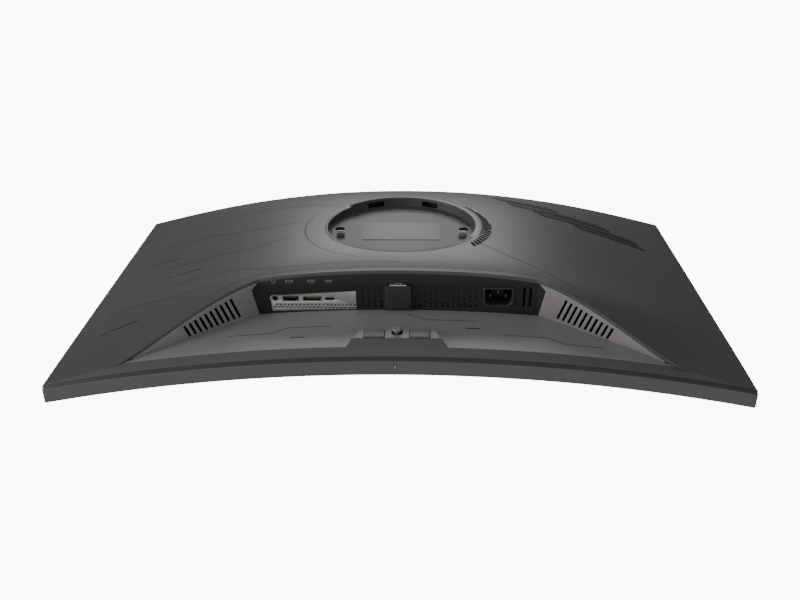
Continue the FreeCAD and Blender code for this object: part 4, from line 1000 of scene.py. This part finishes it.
# black patch round the LED lens: painted shade of the LED recess
well = plate("led_well_shadow", box2(-0.25, 5.85, 2.45, 10.35, 1.0), [], 0.3, (0, 0, -182.92), (1, 0, 0), (0, 1, 0), BLACK_AND_SHADE, bevel=0.05)
join("led_window", [lens, well], nodes=("power_led_lens",))

# -------------------------------------------------------------- screen front
def sheet_grid(name, half, z0, z1, front, back, mat, nodes=(), nx=90, corner=0.0):
    x = np.linspace(-half, half, nx)
    V, F = [], []
    for z in (z0, z1):
        for o in (front, back):
            V += [(a, float(cyl(a, o)), z) for a in x]
    n = nx
    for i in range(n - 1):
        F.append((i, i + 1, 2 * n + i + 1, 2 * n + i))
        F.append((n + i + 1, n + i, 3 * n + i, 3 * n + i + 1))
        F.append((i + 1, i, n + i, n + i + 1))
        F.append((2 * n + i, 2 * n + i + 1, 3 * n + i + 1, 3 * n + i))
    F.append((0, 2 * n, 3 * n, n))
    F.append((n - 1, 2 * n - 1, 4 * n - 1, 3 * n - 1))
    return mesh(name, V, F, mat, nodes=nodes, sharp=30.0)


glass = sheet_grid("glass_sheet", 303.4, -164.8, 180.5, 0.8, 2.35, MAT["lcd_glass"])
V, F = [], []
xb = np.linspace(-303.2, 303.2, 90)
for z0, z1 in ((-164.7, -161.2), (174.4, 180.4)):
    b0 = len(V)
    for x in xb:
        V += [(x, float(cyl(x, 0.77)), z0), (x, float(cyl(x, 0.77)), z1)]
    F += [(b0 + 2 * i, b0 + 2 * i + 2, b0 + 2 * i + 3, b0 + 2 * i + 1) for i in range(89)]
for x0, x1 in ((-303.2, -297.4), (297.4, 303.2)):
    b0 = len(V)
    for x in (x0, x1):
        V += [(x, float(cyl(x, 0.77)), -161.2), (x, float(cyl(x, 0.77)), 174.4)]
    F.append((b0, b0 + 2, b0 + 3, b0 + 1))
border = mesh("glass_border", V, F, MASK)
join("screen_glass", [glass, border], nodes=("lcd_cell",))

# --------------------------------------------------------------- connectors
perf = [arc2(39.6 + 3.54 * i, 25.2, 0.8, 0, 360, 14)[:-1] for i in range(21)] + \
       [arc2(41.37 + 3.54 * i, 22.9, 0.8, 0, 360, 14)[:-1] for i in range(21)]
io_holes = [arc2(111.6, PL, 3.2, 0, 360, 32)[:-1], box2(89.9, PL - 2.9, 104.9, PL + 2.9, 0.6), box2(69.4, PL - 2.6, 86.4, PL + 2.6, 0.6),
            box2(57.4, PL - 1.8, 66.8, PL + 1.8, 1.7, 8)]
plate("io_face", [(36.2, 20.5), (117.2, 17.5), (117.2, 42.8), (36.2, 42.8)], io_holes + perf, 0.76, (0, 0, BL + 3.05), (1, 0, 0), (0, 1, 0), MAT["io_steel"],
      nodes=("io_bracket",), bevel=0.1, seg=1)


def port(name, outer, inner, tongue, node, z0, deep, tongue_mat):
    ring = plate(name + "_ring", outer, [inner], deep, (0, 0, z0 + deep / 2), (1, 0, 0), (0, 1, 0), MAT["socket_metal"],
                 bevel=0.12)
    backp = plate(name + "_back", outer, [], 0.8, (0, 0, z0 + deep + 0.5), (1, 0, 0), (0, 1, 0), BLACK_AND_SHADE, bevel=0.05)
    tng = plate(name + "_tongue", tongue, [], deep - 1.2, (0, 0, z0 + 1.0 + deep / 2), (1, 0, 0), (0, 1, 0), tongue_mat,
                bevel=0.15)
    join(name, [ring, backp, tng], nodes=(node,))


X = 97.4
port("video_a", rounded([(X - 7.3, PL + 2.7), (X - 7.3, PL - 0.4), (X - 5.2, PL - 2.7), (X + 5.2, PL - 2.7), (X + 7.3, PL - 0.4), (X + 7.3, PL + 2.7)], 0.7, 4),
     rounded([(X - 6.8, PL + 2.2), (X - 6.8, PL - 0.2), (X - 4.9, PL - 2.2), (X + 4.9, PL - 2.2), (X + 6.8, PL - 0.2), (X + 6.8, PL + 2.2)], 0.4, 3),
     box2(X - 5.2, PL - 0.5, X + 5.2, PL + 0.7, 0.2), "hdmi_socket", BL + 2.5, 12.0, MAT["jack_plastic"])
X = 77.9
port("video_b", rounded([(X - 8.3, PL + 2.4), (X - 8.3, PL - 1.2), (X - 7.1, PL - 2.4), (X + 8.3, PL - 2.4), (X + 8.3, PL + 2.4)], 0.5, 3),
     rounded([(X - 7.8, PL + 1.9), (X - 7.8, PL - 1.0), (X - 6.9, PL - 1.9), (X + 7.8, PL - 1.9), (X + 7.8, PL + 1.9)], 0.3, 3),
     box2(X - 6.2, PL - 0.6, X + 6.2, PL + 0.6, 0.2), "displayport_socket", BL + 2.5, 12.0, GOLD)
X = 62.1
port("usb_port", box2(X - 4.5, PL - 1.6, X + 4.5, PL + 1.6, 1.55, 8), box2(X - 4.1, PL - 1.2, X + 4.1, PL + 1.2, 1.15, 8),
     box2(X - 3.2, PL - 0.35, X + 3.2, PL + 0.35, 0.15), "usb_c_socket", BL + 2.5, 9.0, MAT["jack_plastic"])
Z1 = BL + 2.3
jk = turned("jack_ring", [(1.85, Z1 + 6.0), (1.85, Z1 + 0.35), (2.05, Z1 + 0.1), (2.8, Z1), (2.98, Z1 + 0.15), (3.0, Z1 + 2.0)], (111.6, PL),
            MAT["socket_metal"], axis="Z")
jb = plate("jack_block", box2(107.9, 28.1, 115.3, 35.9, 0.3), [arc2(111.6, PL, 1.9, 0, 360, 24)[:-1]], 11.0, (0, 0, Z1 + 7.2), (1, 0, 0), (0, 1, 0),
           MAT["jack_plastic"], bevel=0.2)
je = plate("jack_end", box2(108.5, 28.5, 115.0, 35.5, 0.3), [], 0.4, (0, 0, Z1 + 12.9), (1, 0, 0), (0, 1, 0), BLACK_AND_SHADE, bevel=0.05)
join("audio_jack", [jk, jb, je], nodes=("headphone_jack",))


def d_shape(w, h, c, r):
    return rounded([(IX - w, IY - h + c), (IX - w + c, IY - h), (IX + w - c, IY - h), (IX + w, IY - h + c), (IX + w, IY + h), (IX - w, IY + h)],
                   [r * 0.8, r, r, r * 0.8, r, r], 5)


rim_o = plate("inlet_rim", d_shape(14.05, 9.65, 3.6, 1.6), [d_shape(12.1, 8.1, 3.4, 1.0)], 16.5, (0, 0, BL - 0.6 + 8.25), (1, 0, 0), (0, 1, 0),
              MAT["inlet_plastic"], bevel=0.45, seg=3)
core_o = plate("inlet_floor", d_shape(13.0, 8.8, 3.4, 1.0), [box2(x - 1.05, y - 2.05, x + 1.05, y + 2.05) for x, y in
               ((IX - 7, IY - 1.5), (IX + 7, IY - 1.5), (IX, IY + 2.5))], 1.6, (0, 0, BL + 16.9), (1, 0, 0), (0, 1, 0), BLACK_AND_SHADE,
               bevel=0.1)
join("mains_inlet", [rim_o, core_o], nodes=("ac_inlet",))
blades = []
for x, y in ((IX - 7, IY - 1.5), (IX + 7, IY - 1.5), (IX, IY + 2.5)):
    blades.append(plate("blade", box2(x - 0.97, y - 1.97, x + 0.97, y + 1.97, 0.3), [], 17.4, (0, 0, BL + 13.75), (1, 0, 0), (0, 1, 0),
                        MAT["pin_metal"], bevel=0.5, seg=2))
join("inlet_blades", blades, nodes=("inlet_pins",))

# ------------------------------------------------------------------ controls
for tag, sx in (("left", -1), ("right", 1)):
    top = plate("key_top", box2(-8.7, -5.2, 8.7, 5.2, 0.7), [], 4.2, (sx * KX, 22.6, KZ), (-1, 0, 0), (0, 0, 1), MAT["key_plastic"],
                body="key_" + tag, bevel=0.45, seg=3)
    post = turned("key_post", [(0.0, 16.05), (2.1, 16.05), (2.2, 16.2), (2.2, 20.6)], (sx * KX, KZ), MAT["key_plastic"],
                  body="key_" + tag, n=24)
    join("key_cap_" + tag, [top, post], nodes=("key_" + tag,), body="key_" + tag)
turned("stick_cap", [(1.75, 23.2), (1.75, 18.7), (1.9, 18.6), (2.3, 18.6), (2.4, 18.75), (2.4, 24.8), (2.6, 25.15), (3.9, 25.95), (4.2, 26.25),
                     (4.3, 26.6), (4.3, 27.4), (4.15, 27.75), (3.8, 27.95), (3.2, 28.3), (2.6, 28.38), (1.6, 28.1), (0.0, 28.0)], (0, SZ),
       MAT["cap_plastic"], body="stick_cap", nodes=("joystick_cap",), n=48)

# ------------------------------------------------------------------ staging
world = bpy.data.worlds.new("studio")
bpy.context.scene.world = world
world.use_nodes = True
wn = world.node_tree
bg = wn.nodes["Background"]
bg.inputs[0].default_value = (1.0, 1.0, 1.0, 1.0)
bg.inputs[1].default_value = 0.12
seen = wn.nodes.new("ShaderNodeBackground")
seen.inputs[0].default_value = (1.0, 1.0, 1.0, 1.0)
seen.inputs[1].default_value = 10.0
path = wn.nodes.new("ShaderNodeLightPath")
mixer = wn.nodes.new("ShaderNodeMixShader")
wn.links.new(path.outputs["Is Camera Ray"], mixer.inputs[0])
wn.links.new(bg.outputs[0], mixer.inputs[1])
wn.links.new(seen.outputs[0], mixer.inputs[2])
wn.links.new(mixer.outputs[0], wn.nodes["World Output"].inputs[0])


def area(name, loc, target, size, power, col=(1, 1, 1)):
    li = bpy.data.lights.new(name, "AREA")
    li.shape = "RECTANGLE"
    li.size, li.size_y = size
    li.energy = power
    li.color = col
    o = bpy.data.objects.new(name, li)
    o.location = Vector(loc)
    o.rotation_mode = "QUATERNION"
    o.rotation_quaternion = (Vector(target) - Vector(loc)).to_track_quat("-Z", "Y")
    bpy.context.scene.collection.objects.link(o)
    return o


area("key_light", (0.03, 1.12, 1.62), (0, 0, 0), (1.1, 0.9), 21)
area("back_light", (0.55, 2.3, 0.0), (0, 0, 0), (1.3, 1.2), 8.5)
area("front_light", (-0.9, -2.3, 1.1), (0, 0, 0), (1.5, 1.2), 45)
area("fill_light", (2.2, 0.35, -0.65), (-0.1, 0.02, -0.1), (1.0, 1.0), 34)

fv, ff = [], []
for x in (-6, 6):
    for y in (-6, 6):
        fv.append((x, y, -2.4))
fm = bpy.data.meshes.new("floor")
fm.from_pydata(fv, [], [(0, 2, 3, 1)])
pale = plastic("floor_pale", (0.82, 0.82, 0.82), 0.7, 0.02, 40, 0.02)
for n in pale.node_tree.nodes:
    if n.bl_idname == "ShaderNodeBsdfPrincipled":
        n.inputs["Emission Color"].default_value = (1.0, 1.0, 1.0, 1.0)
        n.inputs["Emission Strength"].default_value = 0.34
fm.materials.append(pale)
floor = bpy.data.objects.new("floor", fm)
bpy.context.scene.collection.objects.link(floor)

cam = bpy.data.cameras.new("camera")
co = bpy.data.objects.new("camera", cam)
bpy.context.scene.collection.objects.link(co)
bpy.context.scene.camera = co
az, el, roll = math.radians(182.847), math.radians(-62.043), math.radians(2.781)
back = Vector((math.sin(az) * math.cos(el), -math.cos(az) * math.cos(el), math.sin(el)))
fwd = -back
right = fwd.cross(Vector((0, 0, 1))).normalized()
up = right.cross(fwd)
rt = right * math.cos(roll) + up * math.sin(roll)
upv = -right * math.sin(roll) + up * math.cos(roll)
co.rotation_mode = "QUATERNION"
co.rotation_quaternion = Matrix((rt, upv, -fwd)).transposed().to_quaternion()
co.location = Vector(((-19.792 - OX) / 1000, (398.828 - OY) / 1000, (-799.885 - OZ) / 1000))
cam.sensor_fit = "HORIZONTAL"
cam.sensor_width = 36.0
cam.lens = 870.2 * 36.0 / 800.0
cam.clip_start, cam.clip_end = 0.01, 50.0
